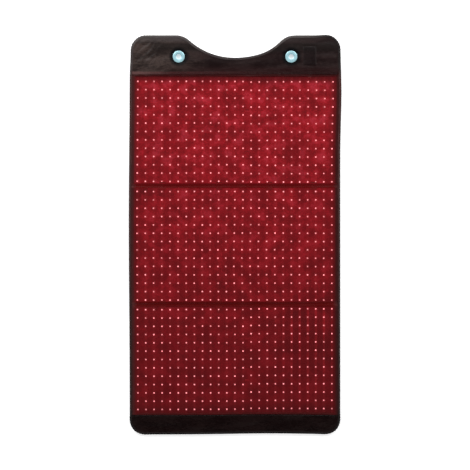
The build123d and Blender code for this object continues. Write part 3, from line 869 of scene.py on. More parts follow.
def make_lamps(name):
    """All lamps of a panel: rings of eight points from the board up to the lens. Four of
    the eight lie on the square's corners and four on the middles of its sides."""
    column, row = np.meshgrid(np.arange(COLUMNS), np.arange(ROWS[name]))
    even_x = (FIRST_COLUMN_X + column * PITCH_X).ravel()
    even_y = (FIRST_ROW_Y[name] - row * PITCH_Y).ravel()
    side = np.where(even_x < BOARD_SPLIT_X, "left", "right")
    shift = np.where(
        side == "left", board_shift(name, "left", even_x, even_y), board_shift(name, "right", even_x, even_y)
    )
    x, y = settle(even_x + board_shift_x(even_x, even_y), even_y + shift)
    chance = np.random.default_rng(100 + ROWS_BEFORE[name])
    tilt = chance.normal(0, 0.05, len(x))
    bright = np.clip(chance.normal(1.0, 0.24, len(x)), 0.5, 1.6)
    angle = np.radians(np.arange(8) * 45 + 45)
    square = np.stack([np.cos(angle), np.sin(angle)], 1)
    square = square / np.abs(square).max(1)[:, None]
    octagon = np.stack([np.cos(angle), np.sin(angle)], 1)
    rings = [(square * size, height) for size, height in LAMP_SQUARES]
    rings += [(octagon * size, height) for size, height in LENS_RINGS]
    shape = np.concatenate(
        [np.c_[ring * LAMP_SIZE / 2, np.full(8, height * LAMP_HEIGHT)] for ring, height in rings]
    )
    turn_x = np.cos(tilt)[:, None] * shape[:, 0] - np.sin(tilt)[:, None] * shape[:, 1]
    turn_y = np.sin(tilt)[:, None] * shape[:, 0] + np.cos(tilt)[:, None] * shape[:, 1]
    points = np.stack([x[:, None] + turn_x, y[:, None] + turn_y, Z_LAMP + 0 * turn_x + shape[:, 2]], -1)
    size = len(shape)
    base = (np.arange(len(x)) * size)[:, None, None]
    ring = (np.arange(len(rings) - 1) * 8)[None, :, None]
    k = np.arange(8)[None, None, :]
    after = (k + 1) % 8
    quads = np.stack([ring + k, ring + after, ring + 8 + after, ring + 8 + k], -1) + base[..., None]
    lid = np.arange(size - 8, size)[None, :] + base[:, 0]
    floor = np.arange(8)[None, ::-1] + base[:, 0]
    lamps = new_piece(name + "_lamps", points, [quads.reshape(-1, 4), lid, floor], 30)
    bands = np.tile(np.repeat(np.arange(len(rings) - 1) >= len(LAMP_SQUARES) - 1, 8), len(x))
    lens = np.concatenate([bands, np.ones(len(x), bool), np.zeros(len(x), bool)])
    mesh = lamps.data
    mesh.materials.append(lamp_body())
    mesh.materials.append(lamp_lens())
    mesh.polygons.foreach_set("material_index", lens.astype(np.int32))
    glow = mesh.attributes.new("glow", "FLOAT", "POINT")
    glow.data.foreach_set("value", np.repeat(bright, size).astype(np.float32))
    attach(lamps, PANELS[name])
    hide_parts(name + "_leds")


def make_ribbons(end):
    """The four flat ribbons that carry power over a fold, sagging between their connectors
    so that they clear the film's valley."""
    fold = FOLD_Y[end + "_fold"]
    low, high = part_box(end + "_fold_jumpers")
    reach = (high.y - low.y) / 2 + 0.0014
    left, split = BOARD_BOX["middle", "left"][0].x, BOARD_SPLIT_X
    right = BOARD_BOX["middle", "right"][1].x
    half = 0.012
    along = np.linspace(-reach, reach, 19)
    across = np.linspace(-half, half, 5)
    sag = 0.0030 * (1 - (along / reach) ** 2) ** 2
    points, faces, plans = [], [], []
    for number, share in enumerate((0.25, 0.75)):
        for k, (start, end_x) in enumerate(((left, split), (split, right))):
            middle = start + (end_x - start) * share
            x, y = np.meshgrid(middle + across, fold + along)
            z = (Z_LAMP + 0.0002 - sag)[:, None] + 0 * x
            top = np.stack([x, y, z + 0.00015], -1)
            bottom = np.stack([x, y, z - 0.00015], -1)
            base = (2 * number + k) * 2 * x.size
            i, j = np.meshgrid(np.arange(len(along) - 1), np.arange(len(across) - 1), indexing="ij")
            first = (i * len(across) + j).ravel()
            quads = np.stack([first, first + 1, first + 1 + len(across), first + len(across)], 1)
            rim = rim_edges(quads)
            wall = np.stack([rim[:, 1], rim[:, 0], rim[:, 0] + x.size, rim[:, 1] + x.size], 1)
            faces += [quads + base, quads[:, ::-1] + base + x.size, wall + base]
            points += [top.reshape(-1, 3), bottom.reshape(-1, 3)]
            plans += 2 * [np.stack([x - middle, y], -1).reshape(-1, 2)]
    ribbons = new_piece(end + "_fold_ribbons", np.concatenate(points), faces)
    set_map(ribbons, "flat", np.concatenate(plans))
    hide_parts(end + "_fold_jumpers")
    ribbons.data.materials.append(ribbon_film())
    blend_over(ribbons)


# ==== the eyelets =========================================================================
def make_eyelets():
    """Each eyelet: a flat-crowned rolled flange and a barrel, and a washer behind it that
    the barrel is rolled over."""
    top, low = EYELET_HIGH.z, Z_FACE - 0.0010
    bore, wall = 0.010, 0.001
    middle = (EYELET_R + bore) / 2
    half = (EYELET_R - bore) / 2
    crown = np.linspace(0, math.pi, 17)
    rise = np.sin(crown) ** 0.55
    flange = [(middle + half * math.cos(a), low + (top - low) * r) for a, r in zip(crown, rise)]
    barrel = [(bore, 0.0016), (bore + 0.0003, 0.0007), (bore + 0.0012, 0.0002), (bore + 0.0026, 0.0001)]
    lip = [(bore + 0.0034, 0.0005), (bore + 0.0030, 0.0009), (bore + 0.0016, 0.0010), (bore + wall, 0.0018)]
    inside = [(bore + wall, low - 0.0004), (EYELET_R - 0.0006, low - 0.0002)]
    centres = [(side * EYELET_X, EYELET_Y) for side in (-1, 1)]
    rings = turned("eyelet_rings", centres, flange + barrel + lip + inside)
    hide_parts("eyelets")
    inner, outer = bore + 0.0014, EYELET_R
    section = [(inner, 0.0016), (inner, 0.0010), (inner + 0.003, 0.0009), (outer - 0.006, 0.0002)]
    section += [(outer - 0.002, 0.0), (outer, 0.0005), (outer, 0.0014), (outer - 0.001, 0.0016)]
    backs = turned("eyelet_backs", centres, section)
    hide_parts("eyelet_washers")
    for piece in (rings, backs):
        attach(piece, UPPER)
        piece.data.materials.append(eyelet_metal())


# ==== shader groups =======================================================================
def join(tree, socket, value):
    """Links an output to a socket, or sets the socket's own value."""
    if isinstance(value, bpy.types.NodeSocket):
        tree.links.new(value, socket)
    else:
        socket.default_value = value


def add(tree, kind, inputs, output=0, **settings):
    """Adds a shader node, sets it up and returns one of its outputs."""
    node = tree.nodes.new("ShaderNode" + kind)
    for key, value in settings.items():
        setattr(node, key, value)
    for key, value in inputs.items():
        join(tree, node.inputs[key], value)
    return node.outputs[output]


def times(tree, a, b):
    """a * b"""
    return add(tree, "Math", {0: a, 1: b}, operation="MULTIPLY")


def plus(tree, a, b):
    """a + b"""
    return add(tree, "Math", {0: a, 1: b}, operation="ADD")


def ramp(tree, value, low, high, to_low=0.0, to_high=1.0):
    """Smoothly from to_low, where value is low, to to_high, where it is high."""
    inputs = {"Value": value, "From Min": low, "From Max": high, "To Min": to_low, "To Max": to_high}
    return add(tree, "MapRange", inputs, interpolation_type="SMOOTHSTEP")


def mixed(tree, share, a, b):
    """The colour a where share is 0 and b where it is 1."""
    return add(tree, "Mix", {0: share, 6: a, 7: b}, output=2, data_type="RGBA")


def noise(tree, place, scale, detail=2.0, roughness=0.5):
    """Fractal noise of scale cells a metre."""
    inputs = {"Vector": place, "Scale": scale, "Detail": detail, "Roughness": roughness}
    return add(tree, "TexNoise", inputs)


def stretched(tree, place, x, y, z=1.0):
    """A place with its coordinates multiplied."""
    return add(tree, "Mapping", {"Vector": place, "Scale": (x, y, z)})


def colour(red, green, blue):
    """An opaque colour."""
    return (red, green, blue, 1.0)


def new_group(name, inputs, outputs, build):
    """A shader node group: inputs are (name, kind, default), outputs (name, kind), and
    build(tree, sockets) returns the outputs' values."""
    tree = bpy.data.node_groups.new(name, "ShaderNodeTree")
    for title, kind, default in inputs:
        socket = tree.interface.new_socket(title, in_out="INPUT", socket_type="NodeSocket" + kind)
        if default is not None:
            socket.default_value = default
    for title, kind in outputs:
        tree.interface.new_socket(title, in_out="OUTPUT", socket_type="NodeSocket" + kind)
    inside = tree.nodes.new("NodeGroupInput")
    outside = tree.nodes.new("NodeGroupOutput")
    for socket, value in zip(outside.inputs, build(tree, inside.outputs)):
        join(tree, socket, value)
    return tree


def build_grain(tree, given):
    """Pebbled grain of coated cloth: cells of uneven size, parted by narrow furrows, with a
    fine tooth on them."""
    place, cells = given["Place"], given["Cells"]
    bend = noise(tree, place, times(tree, cells, 0.45), 1.0)
    aside = add(tree, "CombineXYZ", {0: bend, 1: bend, 2: bend})
    push = add(tree, "VectorMath", {0: aside, 3: 0.0012}, operation="SCALE")
    moved = add(tree, "VectorMath", {0: place, 1: push}, operation="ADD")
    inputs = {"Vector": moved, "Scale": cells, "Randomness": 0.95}
    gap = add(tree, "TexVoronoi", inputs, feature="DISTANCE_TO_EDGE")
    pebble = ramp(tree, gap, 0.0, 0.28)
    tooth = noise(tree, place, times(tree, cells, 4.0), 2.0)
    height = plus(tree, times(tree, pebble, 0.8), times(tree, tooth, 0.2))
    return height, ramp(tree, gap, 0.0, 0.12, 1.0, 0.0)


def build_mottle(tree, given):
    """Uneven tone about 0.5: broad patches and smaller ones inside them."""
    place = given["Place"]
    broad = noise(tree, place, given["Broad"], 2.0)
    small = noise(tree, place, given["Small"], 3.0, 0.6)
    return (plus(tree, times(tree, broad, 0.55), times(tree, small, 0.45)),)


def build_wear(tree, given):
    """Rubbed patches: noise that passes a threshold, broken up by fine scuffs."""
    place = given["Place"]
    patches = noise(tree, place, given["Patches"], 4.0, 0.65)
    scuffs = noise(tree, stretched(tree, place, 1.0, 4.0), times(tree, given["Patches"], 9.0), 2.0)
    raised = ramp(tree, plus(tree, times(tree, patches, 0.75), times(tree, scuffs, 0.25)), 0.50, 0.68)
    return (times(tree, raised, given["Amount"]),)


def build_lint(tree, given):
    """Small pale specks of dust, each a dot round the middle of a cell of its own size."""
    cells = add(tree, "TexVoronoi", {"Vector": given["Place"], "Scale": given["Cells"]})
    chosen = noise(tree, given["Place"], times(tree, given["Cells"], 0.31), 1.0)
    dot = ramp(tree, cells, 0.03, 0.09, 1.0, 0.0)
    return (times(tree, times(tree, dot, ramp(tree, chosen, 0.55, 0.7)), given["Amount"]),)


def build_weave(tree, given):
    """Ribbed tape: round ribs across its length and yarns that cross them half a step
    apart on every other rib."""
    split = add(tree, "SeparateXYZ", {0: given["Place"]}).node.outputs
    along = times(tree, split[0], given["Ribs"])
    across = times(tree, split[1], given["Yarns"])
    half_step = times(tree, add(tree, "Math", {0: along, 1: 2.0}, operation="MODULO"), 3.1416)
    rib = add(tree, "Math", {0: times(tree, along, 6.2832)}, operation="COSINE")
    yarn = add(tree, "Math", {0: plus(tree, times(tree, across, 6.2832), half_step)}, operation="COSINE")
    height = plus(tree, times(tree, rib, 0.3), plus(tree, times(tree, yarn, 0.2), 0.5))
    return height, ramp(tree, height, 0.1, 0.9, 0.65, 1.15)


PLACE = ("Place", "Vector", None)
GROUPS = {
    name: new_group(name, [PLACE] + [(k, "Float", v) for k, v in asked], [(o, "Float") for o in given], build)
    for name, asked, given, build in (
        ("grain", [("Cells", 900.0)], ["Height", "Furrow"], build_grain),
        ("mottle", [("Broad", 12.0), ("Small", 90.0)], ["Tone"], build_mottle),
        ("wear", [("Patches", 40.0), ("Amount", 1.0)], ["Mask"], build_wear),
        ("lint", [("Cells", 160.0), ("Amount", 1.0)], ["Mask"], build_lint),
        ("weave", [("Ribs", 900.0), ("Yarns", 900.0)], ["Height", "Shade"], build_weave),
    )
}


def use(tree, name, inputs, output=0):
    """Places a group in a material and returns one of its outputs."""
    node = tree.nodes.new("ShaderNodeGroup")
    node.node_tree = GROUPS[name]
    for key, value in inputs.items():
        join(tree, node.inputs[key], value)
    return node.outputs[output]


def raised(tree, height, depth, strength=1.0, over=None):
    """The normal of a bump map: height 1 stands depth metres over height 0."""
    inputs = {"Height": height, "Distance": depth, "Strength": strength}
    if over is not None:
        inputs["Normal"] = over
    return add(tree, "Bump", inputs)


# ==== finishes ============================================================================
FINISHES = {}


def finish(build):
    """Makes a material the first time that it is asked for, under its function's name."""
    def ask():
        name = build.__name__
        if name not in FINISHES:
            material = bpy.data.materials.new(name)
            material.use_nodes = True
            tree = material.node_tree
            shader = tree.nodes["Principled BSDF"]
            for key, value in build(tree).items():
                join(tree, shader.inputs[key], value)
            material.cycles.emission_sampling = "NONE"
            FINISHES[name] = material
        return FINISHES[name]
    return ask


def on_map(tree, name="flat"):
    """A piece's own UV map, in metres."""
    return add(tree, "UVMap", {}, uv_map=name)


def on_object(tree):
    """Object coordinates, in metres."""
    return add(tree, "TexCoord", {}, output=3)


@finish
def front_leather(tree):
    """Coated cloth of the head and foot strips: near black, with a painted sheen and rubbed
    patches towards the head's left end, a painted highlight along the head edge above a band of
    painted shade, painted shade in the grain's furrows, dust, darker over the box, painted shade
    round the eyelets, painted red lamp light along the seam, and the foot strip painted darker
    for the light falling off towards the foot."""
    place = on_map(tree)
    grain = use(tree, "grain", {"Place": place, "Cells": 820.0})
    furrow_shade = use(tree, "grain", {"Place": place, "Cells": 820.0}, 1)
    tone = use(tree, "mottle", {"Place": stretched(tree, place, 1.0, 3.0), "Broad": 9.0, "Small": 70.0})
    rubbed = use(tree, "wear", {"Place": place, "Patches": 26.0, "Amount": 0.5})
    lint = use(tree, "lint", {"Place": place, "Cells": 150.0, "Amount": 0.4})
    x, y = add(tree, "SeparateXYZ", {0: place}).node.outputs[:2]
    head = ramp(tree, y, 0.0, 0.1)
    # Painted sheen towards the head's left end, where the head-left light catches the skin; the same mask
    # also puts more rubbed patches there and less painted lamp light.
    left_sheen_and_wear = times(tree, head, ramp(tree, x, -0.33, -0.06, 1.0, 0.08))
    band = ramp(tree, tone, 0.40, 0.60)
    plain = mixed(tree, band, colour(0.0095, 0.0042, 0.0045), colour(0.0180, 0.0090, 0.0092))
    # The painted sheen's colours.
    left_sheen = mixed(tree, band, colour(0.0200, 0.0135, 0.0120), colour(0.0580, 0.0395, 0.0345))
    # Painted shade: the foot strip's colours are darker, for the light falling off towards the foot.
    foot = mixed(tree, band, colour(0.0048, 0.0017, 0.0017), colour(0.0095, 0.0042, 0.0040))
    base = mixed(tree, head, foot, mixed(tree, left_sheen_and_wear, plain, left_sheen))
    # Painted highlight along the head edge, where the skin slopes towards the head lights, weaker towards the
    # right.
    top_edge_highlight = times(tree, ramp(tree, y, 0.722, 0.750), ramp(tree, x, 0.05, 0.33, 1.0, 0.25))
    base = mixed(tree, times(tree, top_edge_highlight, 0.8), base, colour(0.066, 0.054, 0.053))
    # Painted shade: a darker band just below the head edge's highlight, across all but the far left corner.
    shade_band_below_top = times(tree, ramp(tree, y, 0.688, 0.706), ramp(tree, y, 0.722, 0.733, 1.0, 0.0))
    shade_band_below_top = times(tree, shade_band_below_top, ramp(tree, x, -0.335, -0.300))
    base = mixed(tree, times(tree, shade_band_below_top, 0.7), base, colour(0.0110, 0.0085, 0.0078))
    # Painted red lamp light on the skin near the seam, weaker where the left sheen is, and a painted red lip
    # at the seam itself.
    glow = times(tree, ramp(tree, y, 0.604, 0.648, 0.85, 0.0), plus(tree, 1.0, times(tree, left_sheen_and_wear, -0.75)))
    base = mixed(tree, times(tree, glow, head), base, colour(0.0250, 0.0055, 0.0058))
    lip = times(tree, ramp(tree, y, 0.6075, 0.6095, 1.0, 0.0), head)
    base = mixed(tree, lip, base, colour(0.034, 0.0036, 0.0036))
    rubbed = times(tree, rubbed, plus(tree, times(tree, left_sheen_and_wear, 0.6), 0.1))
    base = mixed(tree, rubbed, base, colour(0.070, 0.052, 0.047))
    # Painted shade in the grain's furrows.
    base = mixed(tree, times(tree, furrow_shade, 0.5), base, colour(0.003, 0.002, 0.002))
    base = mixed(tree, lint, base, colour(0.12, 0.11, 0.11))
    base = mixed(tree, times(tree, over_box(tree, x, y), 0.42), base, colour(0.0045, 0.0030, 0.0036))
    # Painted shade in the pressed ring round each eyelet.
    base = mixed(tree, times(tree, eyelet_ring_shade(tree, x, y), 0.92), base, colour(0.0014, 0.0020, 0.0026))
    creases = noise(tree, stretched(tree, place, 1.0, 3.2), 55.0, 4.0, 0.6)
    normal = raised(tree, creases, 0.0012, 0.5)
    rough = ramp(tree, plus(tree, times(tree, grain, -0.12), tone), 0.2, 0.7, 0.28, 0.42)
    return {
        "Base Color": base,
        "Roughness": times(tree, rough, ramp(tree, head, 0.0, 1.0, 0.8, 1.0)),
        "Normal": raised(tree, grain, 0.00010, 0.8, normal),
        "Specular IOR Level": 0.14,
    }


def eyelet_ring_shade(tree, x, y):
    """Mask of the painted shade round each eyelet, where the skin is pressed in: 1 beside an eyelet's flange,
    0 about 10 mm further out.
    """
    across = plus(tree, add(tree, "Math", {0: x}, operation="ABSOLUTE"), -EYELET_X)
    offset = add(tree, "CombineXYZ", {0: across, 1: plus(tree, y, -EYELET_Y)})
    away = add(tree, "VectorMath", {0: offset}, output=1, operation="LENGTH")
    return ramp(tree, away, EYELET_R + 0.004, EYELET_R + 0.020, 1.0, 0.0)


def over_box(tree, x, y):
    """1 over the junction box and 0 away from it."""
    inside = 1.0
    for value, low, high in ((x, BOX_LOW.x, BOX_HIGH.x), (y, BOX_LOW.y, BOX_HIGH.y)):
        away = add(tree, "Math", {0: plus(tree, value, -(low + high) / 2)}, operation="ABSOLUTE")
        half = (high - low) / 2
        inside = times(tree, inside, ramp(tree, away, half - 0.001, half + 0.003, 1.0, 0.0))
    return inside


@finish
def hem_leather(tree):
    """The hem's stretched cloth, with a painted sheen that is pale and pinkish at its left end,
    red-brown along the middle and nearly black at its right end, and rubbed patches."""
    place = on_map(tree)
    grain = use(tree, "grain", {"Place": place, "Cells": 900.0})
    tone = use(tree, "mottle", {"Place": place, "Broad": 22.0, "Small": 160.0})
    across = add(tree, "SeparateXYZ", {0: place})
    # Painted sheen on the raised welt: pale and pinkish at its left end, where the light from the left
    # catches it, through red-brown to near black at its right end.
    left = ramp(tree, across, -0.385, -0.22, 1.0, 0.0)
    right = ramp(tree, across, -0.22, 0.24)
    rubbed = use(tree, "wear", {"Place": place, "Patches": 60.0, "Amount": 0.25})
    plain = mixed(tree, right, colour(0.044, 0.0105, 0.0110), colour(0.0165, 0.0026, 0.0029))
    base = mixed(tree, left, plain, colour(0.140, 0.066, 0.063))
    base = mixed(tree, rubbed, base, colour(0.090, 0.052, 0.048))
    base = mixed(tree, ramp(tree, tone, 0.3, 0.7, 0.4, 0.0), base, colour(0.010, 0.004, 0.004))
    return {
        "Base Color": base,
        "Roughness": ramp(tree, grain, 0.0, 1.0, 0.58, 0.42),
        "Normal": raised(tree, grain, 0.00009, 0.8),
        "Specular IOR Level": 0.05,
    }


@finish
def back_leather(tree):
    """Plain black coated cloth of the back, with a larger grain and painted shade in its furrows."""
    place = on_map(tree)
    grain = use(tree, "grain", {"Place": place, "Cells": 620.0})
    furrow_shade = use(tree, "grain", {"Place": place, "Cells": 620.0}, 1)
    tone = use(tree, "mottle", {"Place": place, "Broad": 6.0, "Small": 55.0})
    rubbed = use(tree, "wear", {"Place": place, "Patches": 14.0, "Amount": 0.35})
    lint = use(tree, "lint", {"Place": place, "Cells": 120.0, "Amount": 0.5})
    crease = noise(tree, place, 9.0, 4.0, 0.6)
    base = mixed(tree, tone, colour(0.0055, 0.0050, 0.0050), colour(0.0120, 0.0110, 0.0110))
    base = mixed(tree, ramp(tree, crease, 0.40, 0.62, 0.0, 0.5), base, colour(0.0200, 0.0185, 0.0180))
    base = mixed(tree, rubbed, base, colour(0.030, 0.028, 0.027))
    # Painted shade in the grain's furrows.
    base = mixed(tree, times(tree, furrow_shade, 0.6), base, colour(0.004, 0.0035, 0.0035))
    base = mixed(tree, lint, base, colour(0.17, 0.16, 0.155))
    return {
        "Base Color": base,
        "Roughness": ramp(tree, grain, 0.0, 1.0, 0.62, 0.43),
        "Normal": raised(tree, grain, 0.00020, 1.0, raised(tree, crease, 0.0040, 1.0)),
        "Specular IOR Level": 0.14,
    }


@finish
def binding_tape(tree):
    """Ribbed tape folded over the edge: a painted grey highlight round the head, rubbed patches
    that grow towards the head, painted red lamp light on its upper lip beside the lit field,
    black round the foot and painted shade along its outer fold."""
    place = on_map(tree, "tape")
    weave = use(tree, "weave", {"Place": place, "Ribs": 1100.0, "Yarns": 1300.0})
    shade = use(tree, "weave", {"Place": place, "Ribs": 1100.0, "Yarns": 1300.0}, 1)
    tone = use(tree, "mottle", {"Place": place, "Broad": 14.0, "Small": 120.0})
    rubbed = use(tree, "wear", {"Place": place, "Patches": 45.0, "Amount": 0.4})
    folded = add(tree, "SeparateXYZ", {0: place}).node.outputs[1]
    x, y = add(tree, "SeparateXYZ", {0: on_map(tree)}).node.outputs[:2]
    # Painted highlight round the head, where the tape faces the head lights: lightest along the top edge and
    # darker towards the right.
    right = ramp(tree, x, 0.24, 0.37)
    head = mixed(tree, ramp(tree, y, 0.70, 0.74), colour(0.072, 0.057, 0.056), colour(0.135, 0.118, 0.115))
    head = mixed(tree, right, head, colour(0.014, 0.011, 0.011))
    # Painted red lamp light on the tape beside the lit field, stronger towards the head.
    up = ramp(tree, y, -0.60, 0.36)
    field = mixed(tree, up, colour(0.034, 0.0085, 0.0080), colour(0.082, 0.0260, 0.0250))
    foot = colour(0.0050, 0.0038, 0.0038)
    base = mixed(tree, ramp(tree, y, 0.585, 0.640), field, head)
    base = mixed(tree, ramp(tree, y, -0.690, -0.650), foot, base)
    base = mixed(tree, ramp(tree, tone, 0.3, 0.7, 0.5, 0.0), base, colour(0.012, 0.006, 0.006))
    base = mixed(tree, times(tree, rubbed, ramp(tree, y, -0.6, 0.7)), base, colour(0.080, 0.060, 0.058))
    # Painted shade along the tape's outer fold and underside.
    base = mixed(tree, ramp(tree, folded, 0.0060, 0.0098, 0.0, 0.82), base, colour(0.0065, 0.0050, 0.0050))
    base = mixed(tree, shade, colour(0.003, 0.002, 0.002), base)
    return {
        "Base Color": base,
        "Roughness": ramp(tree, tone, 0.2, 0.8, 0.55, 0.75),
        "Normal": raised(tree, weave, 0.00018, 0.9),
        "Specular IOR Level": 0.10,
    }


@finish
def thread(tree):
    """Twisted black polyester thread."""
    place = on_object(tree)
    inputs = {"Vector": place, "Scale": 700.0, "Distortion": 1.0}
    strands = add(tree, "TexWave", inputs, output=1, bands_direction="DIAGONAL")
    base = mixed(tree, strands, colour(0.010, 0.008, 0.008), colour(0.045, 0.036, 0.035))
    return {
        "Base Color": base,
        "Roughness": 0.62,
        "Normal": raised(tree, strands, 0.00008, 0.8),
    }


@finish
def window_film(tree):
    """Smoky crimson film: clear enough to show the lamps, hazier along its sides, where a weld
    holds it down and its red-brown is painted lamp light with a painted sheen towards the left,
    denser and painted deep red over each fold for the lamps' light scattered in it, with scuffs
    and fine crinkles."""
    place = on_map(tree)
    split = add(tree, "SeparateXYZ", {0: place}).node.outputs
    out = add(tree, "Math", {0: split[0]}, operation="ABSOLUTE")
    border = ramp(tree, out, 0.368, 0.389)
    tone = use(tree, "mottle", {"Place": place, "Broad": 14.0, "Small": 150.0})
    scuffs = use(tree, "wear", {"Place": place, "Patches": 30.0, "Amount": 1.0})
    crinkle = noise(tree, stretched(tree, place, 1.0, 1.6), 160.0, 4.0, 0.6)
    # Along the sides the border's red-brown is painted lamp light, lighter towards the left as a painted
    # sheen.
    left = ramp(tree, split[0], -0.3, 0.3, 1.0, 0.0)
    border_glow_and_sheen = mixed(tree, left, colour(0.052, 0.0110, 0.0105), colour(0.078, 0.0180, 0.0180))
    clear = mixed(tree, tone, colour(0.120, 0.0022, 0.0040), colour(0.200, 0.0048, 0.0080))
    haze = times(tree, ramp(tree, tone, 0.3, 0.7, 0.12, 0.22), plus(tree, times(tree, scuffs, 0.5), 1.0))
    # Painted lamp light over the folds: the film is painted deep red there for the lamps' light scattered
    # sideways in it, and made denser so that it shows.
    fold_band_glow = 0.0
    for fold in (UPPER_FOLD_Y, LOWER_FOLD_Y):
        away = add(tree, "Math", {0: plus(tree, split[1], -fold)}, operation="ABSOLUTE")
        fold_band_glow = plus(tree, fold_band_glow, ramp(tree, away, 0.0055, 0.0085, 1.0, 0.0))
    clear = mixed(tree, fold_band_glow, clear, colour(0.100, 0.0016, 0.0018))
    return {
        "Base Color": mixed(tree, border, clear, border_glow_and_sheen),
        "Alpha": plus(tree, plus(tree, haze, times(tree, border, 0.35)), times(tree, fold_band_glow, 0.45)),
        "Roughness": ramp(tree, plus(tree, tone, times(tree, scuffs, 0.3)), 0.2, 0.9, 0.26, 0.42),
        "Normal": raised(tree, crinkle, 0.00035, 0.5),
        "Specular IOR Level": 0.24,
    }


@finish
def lamp_board(tree):
    """The lit board: crimson mottled glow that fades towards the foot and the board ends,
    copper strips that join the lamps of a column, and a pale pad under each lamp."""
    place = on_map(tree)
    lattice = on_map(tree, "lattice")
    split = add(tree, "SeparateXYZ", {0: lattice}).node.outputs
    flat = add(tree, "SeparateXYZ", {0: place}).node.outputs
    nearest = add(tree, "VectorMath", {0: plus_half(tree, lattice)}, operation="FRACTION")
    offset = add(tree, "VectorMath", {0: nearest, 1: (0.5, 0.5, 0.0)}, operation="SUBTRACT")
    apart = add(tree, "SeparateXYZ", {0: offset}).node.outputs
    off_x = times(tree, add(tree, "Math", {0: apart[0]}, operation="ABSOLUTE"), PITCH_X * 1000)
    off_y = times(tree, add(tree, "Math", {0: apart[1]}, operation="ABSOLUTE"), PITCH_Y * 1000)
    strip = ramp(tree, off_x, 3.6, 5.2, 1.0, 0.0)
    pad = times(tree, ramp(tree, off_x, 4.2, 4.6, 1.0, 0.0), ramp(tree, off_y, 4.2, 4.6, 1.0, 0.0))
    reach = add(tree, "CombineXYZ", {0: off_x, 1: off_y})
    halo = ramp(tree, add(tree, "VectorMath", {0: reach}, output=1, operation="LENGTH"), 1.5, 7.5, 1.0, 0.0)
    tone = use(tree, "mottle", {"Place": place, "Broad": 11.0, "Small": 130.0})
    weave = noise(tree, place, 230.0, 2.0, 0.7)
    streaked = times(tree, ramp(tree, split[0], 16.5, 19.5), ramp(tree, split[1], 24.0, 27.5))
    streaked = times(tree, streaked, ramp(tree, split[1], 31.0, 38.0, 1.0, 0.35))
    streaks = plus(tree, 1.0, times(tree, streaked, ramp(tree, strip, 0.0, 1.0, -0.42, 0.22)))
    down = ramp(tree, flat[1], -0.70, 0.62, 0.30, 1.18)
    patch = noise(tree, place, 22.0, 3.0, 0.65)
    level = times(tree, ramp(tree, tone, 0.34, 0.66, 0.62, 1.32), ramp(tree, weave, 0.3, 0.7, 0.74, 1.26))
    level = times(tree, level, ramp(tree, patch, 0.36, 0.64, 0.78, 1.28))
    level = times(tree, times(tree, level, down), streaks)
    ragged = plus(tree, split[1], times(tree, plus(tree, noise(tree, place, 55.0, 3.0, 0.6), -0.5), 0.24))
    level = times(tree, level, edge_shade(tree, split[0], ragged))
    # Painted shade: the glow is dimmer in a patch on the left just below the first fold.
    shade_below_fold = times(tree, ramp(tree, split[0], 1.0, 9.0, 1.0, 0.0), ramp(tree, ragged, 13.0, 14.6, 1.0, 0.0))
    shade_below_fold = times(tree, shade_below_fold, ramp(tree, ragged, 12.4, 12.5))
    shade_below_fold = times(tree, shade_below_fold, ramp(tree, patch, 0.35, 0.6, 0.65, 0.2))
    level = times(tree, level, plus(tree, 1.0, times(tree, shade_below_fold, -1.0)))
    glow = mixed(tree, tone, colour(0.205, 0.0018, 0.0045), colour(0.248, 0.0060, 0.0110))
    pale = times(tree, ramp(tree, patch, 0.48, 0.68), ramp(tree, flat[1], -0.35, 0.45, 0.15, 0.6))
    glow = mixed(tree, pale, glow, colour(0.270, 0.0210, 0.0340))
    glow = mixed(tree, times(tree, halo, 0.20), glow, colour(0.62, 0.085, 0.105))
    base = mixed(tree, strip, colour(0.050, 0.0025, 0.0035), colour(0.080, 0.0060, 0.0070))
    base = mixed(tree, pad, base, colour(0.12, 0.03, 0.03))
    tracks = plus(tree, times(tree, strip, 0.6), times(tree, pad, 0.4))
    return {
        "Base Color": base,
        "Roughness": ramp(tree, tone, 0.2, 0.8, 0.6, 0.8),
        "Specular IOR Level": 0.15,
        "Normal": raised(tree, tracks, 0.00012, 0.8),
        "Emission Color": add(tree, "VectorMath", {0: glow, 3: level}, operation="SCALE"),
        "Emission Strength": 1.0,
    }


def plus_half(tree, vector):
    """A vector with a half added to its first two numbers."""
    return add(tree, "VectorMath", {0: vector, 1: (0.5, 0.5, 0.0)}, operation="ADD")


def edge_shade(tree, column, row):
    """Darkness beside the folds and round the field, from the column and row numbers."""
    above_first = ramp(tree, row, 12.2, 12.50, 1.0, 0.85)
    below_first = ramp(tree, row, 12.66, 12.92, 0.42, 1.0)
    first = add(tree, "Math", {0: above_first, 1: below_first}, operation="MAXIMUM")
    above_second = ramp(tree, row, 26.1, 26.42, 1.0, 0.35)
    below_second = ramp(tree, row, 26.58, 26.95, 0.35, 1.0)
    second = add(tree, "Math", {0: above_second, 1: below_second}, operation="MAXIMUM")
    ends = times(tree, ramp(tree, row, -0.50, 0.45, 0.12, 1.0), ramp(tree, row, 37.9, 39.42, 1.0, 0.08))
    sides = times(tree, ramp(tree, column, -0.45, 0.6, 0.35, 1.0), ramp(tree, column, 23.3, 24.45, 1.0, 0.30))
    return times(tree, times(tree, times(tree, first, second), ends), sides)


@finish
def lamp_body(tree):
    """The moulded body of a lamp, lit red from inside."""
    place = on_object(tree)
    tone = noise(tree, place, 900.0, 2.0)
    glow = mixed(tree, tone, colour(0.42, 0.055, 0.070), colour(0.58, 0.090, 0.110))
    return {
        "Base Color": mixed(tree, tone, colour(0.30, 0.10, 0.10), colour(0.42, 0.17, 0.17)),
        "Roughness": 0.4,
        "Normal": raised(tree, tone, 0.00004, 0.5),
        "Emission Color": glow,
        "Emission Strength": 1.0,
    }


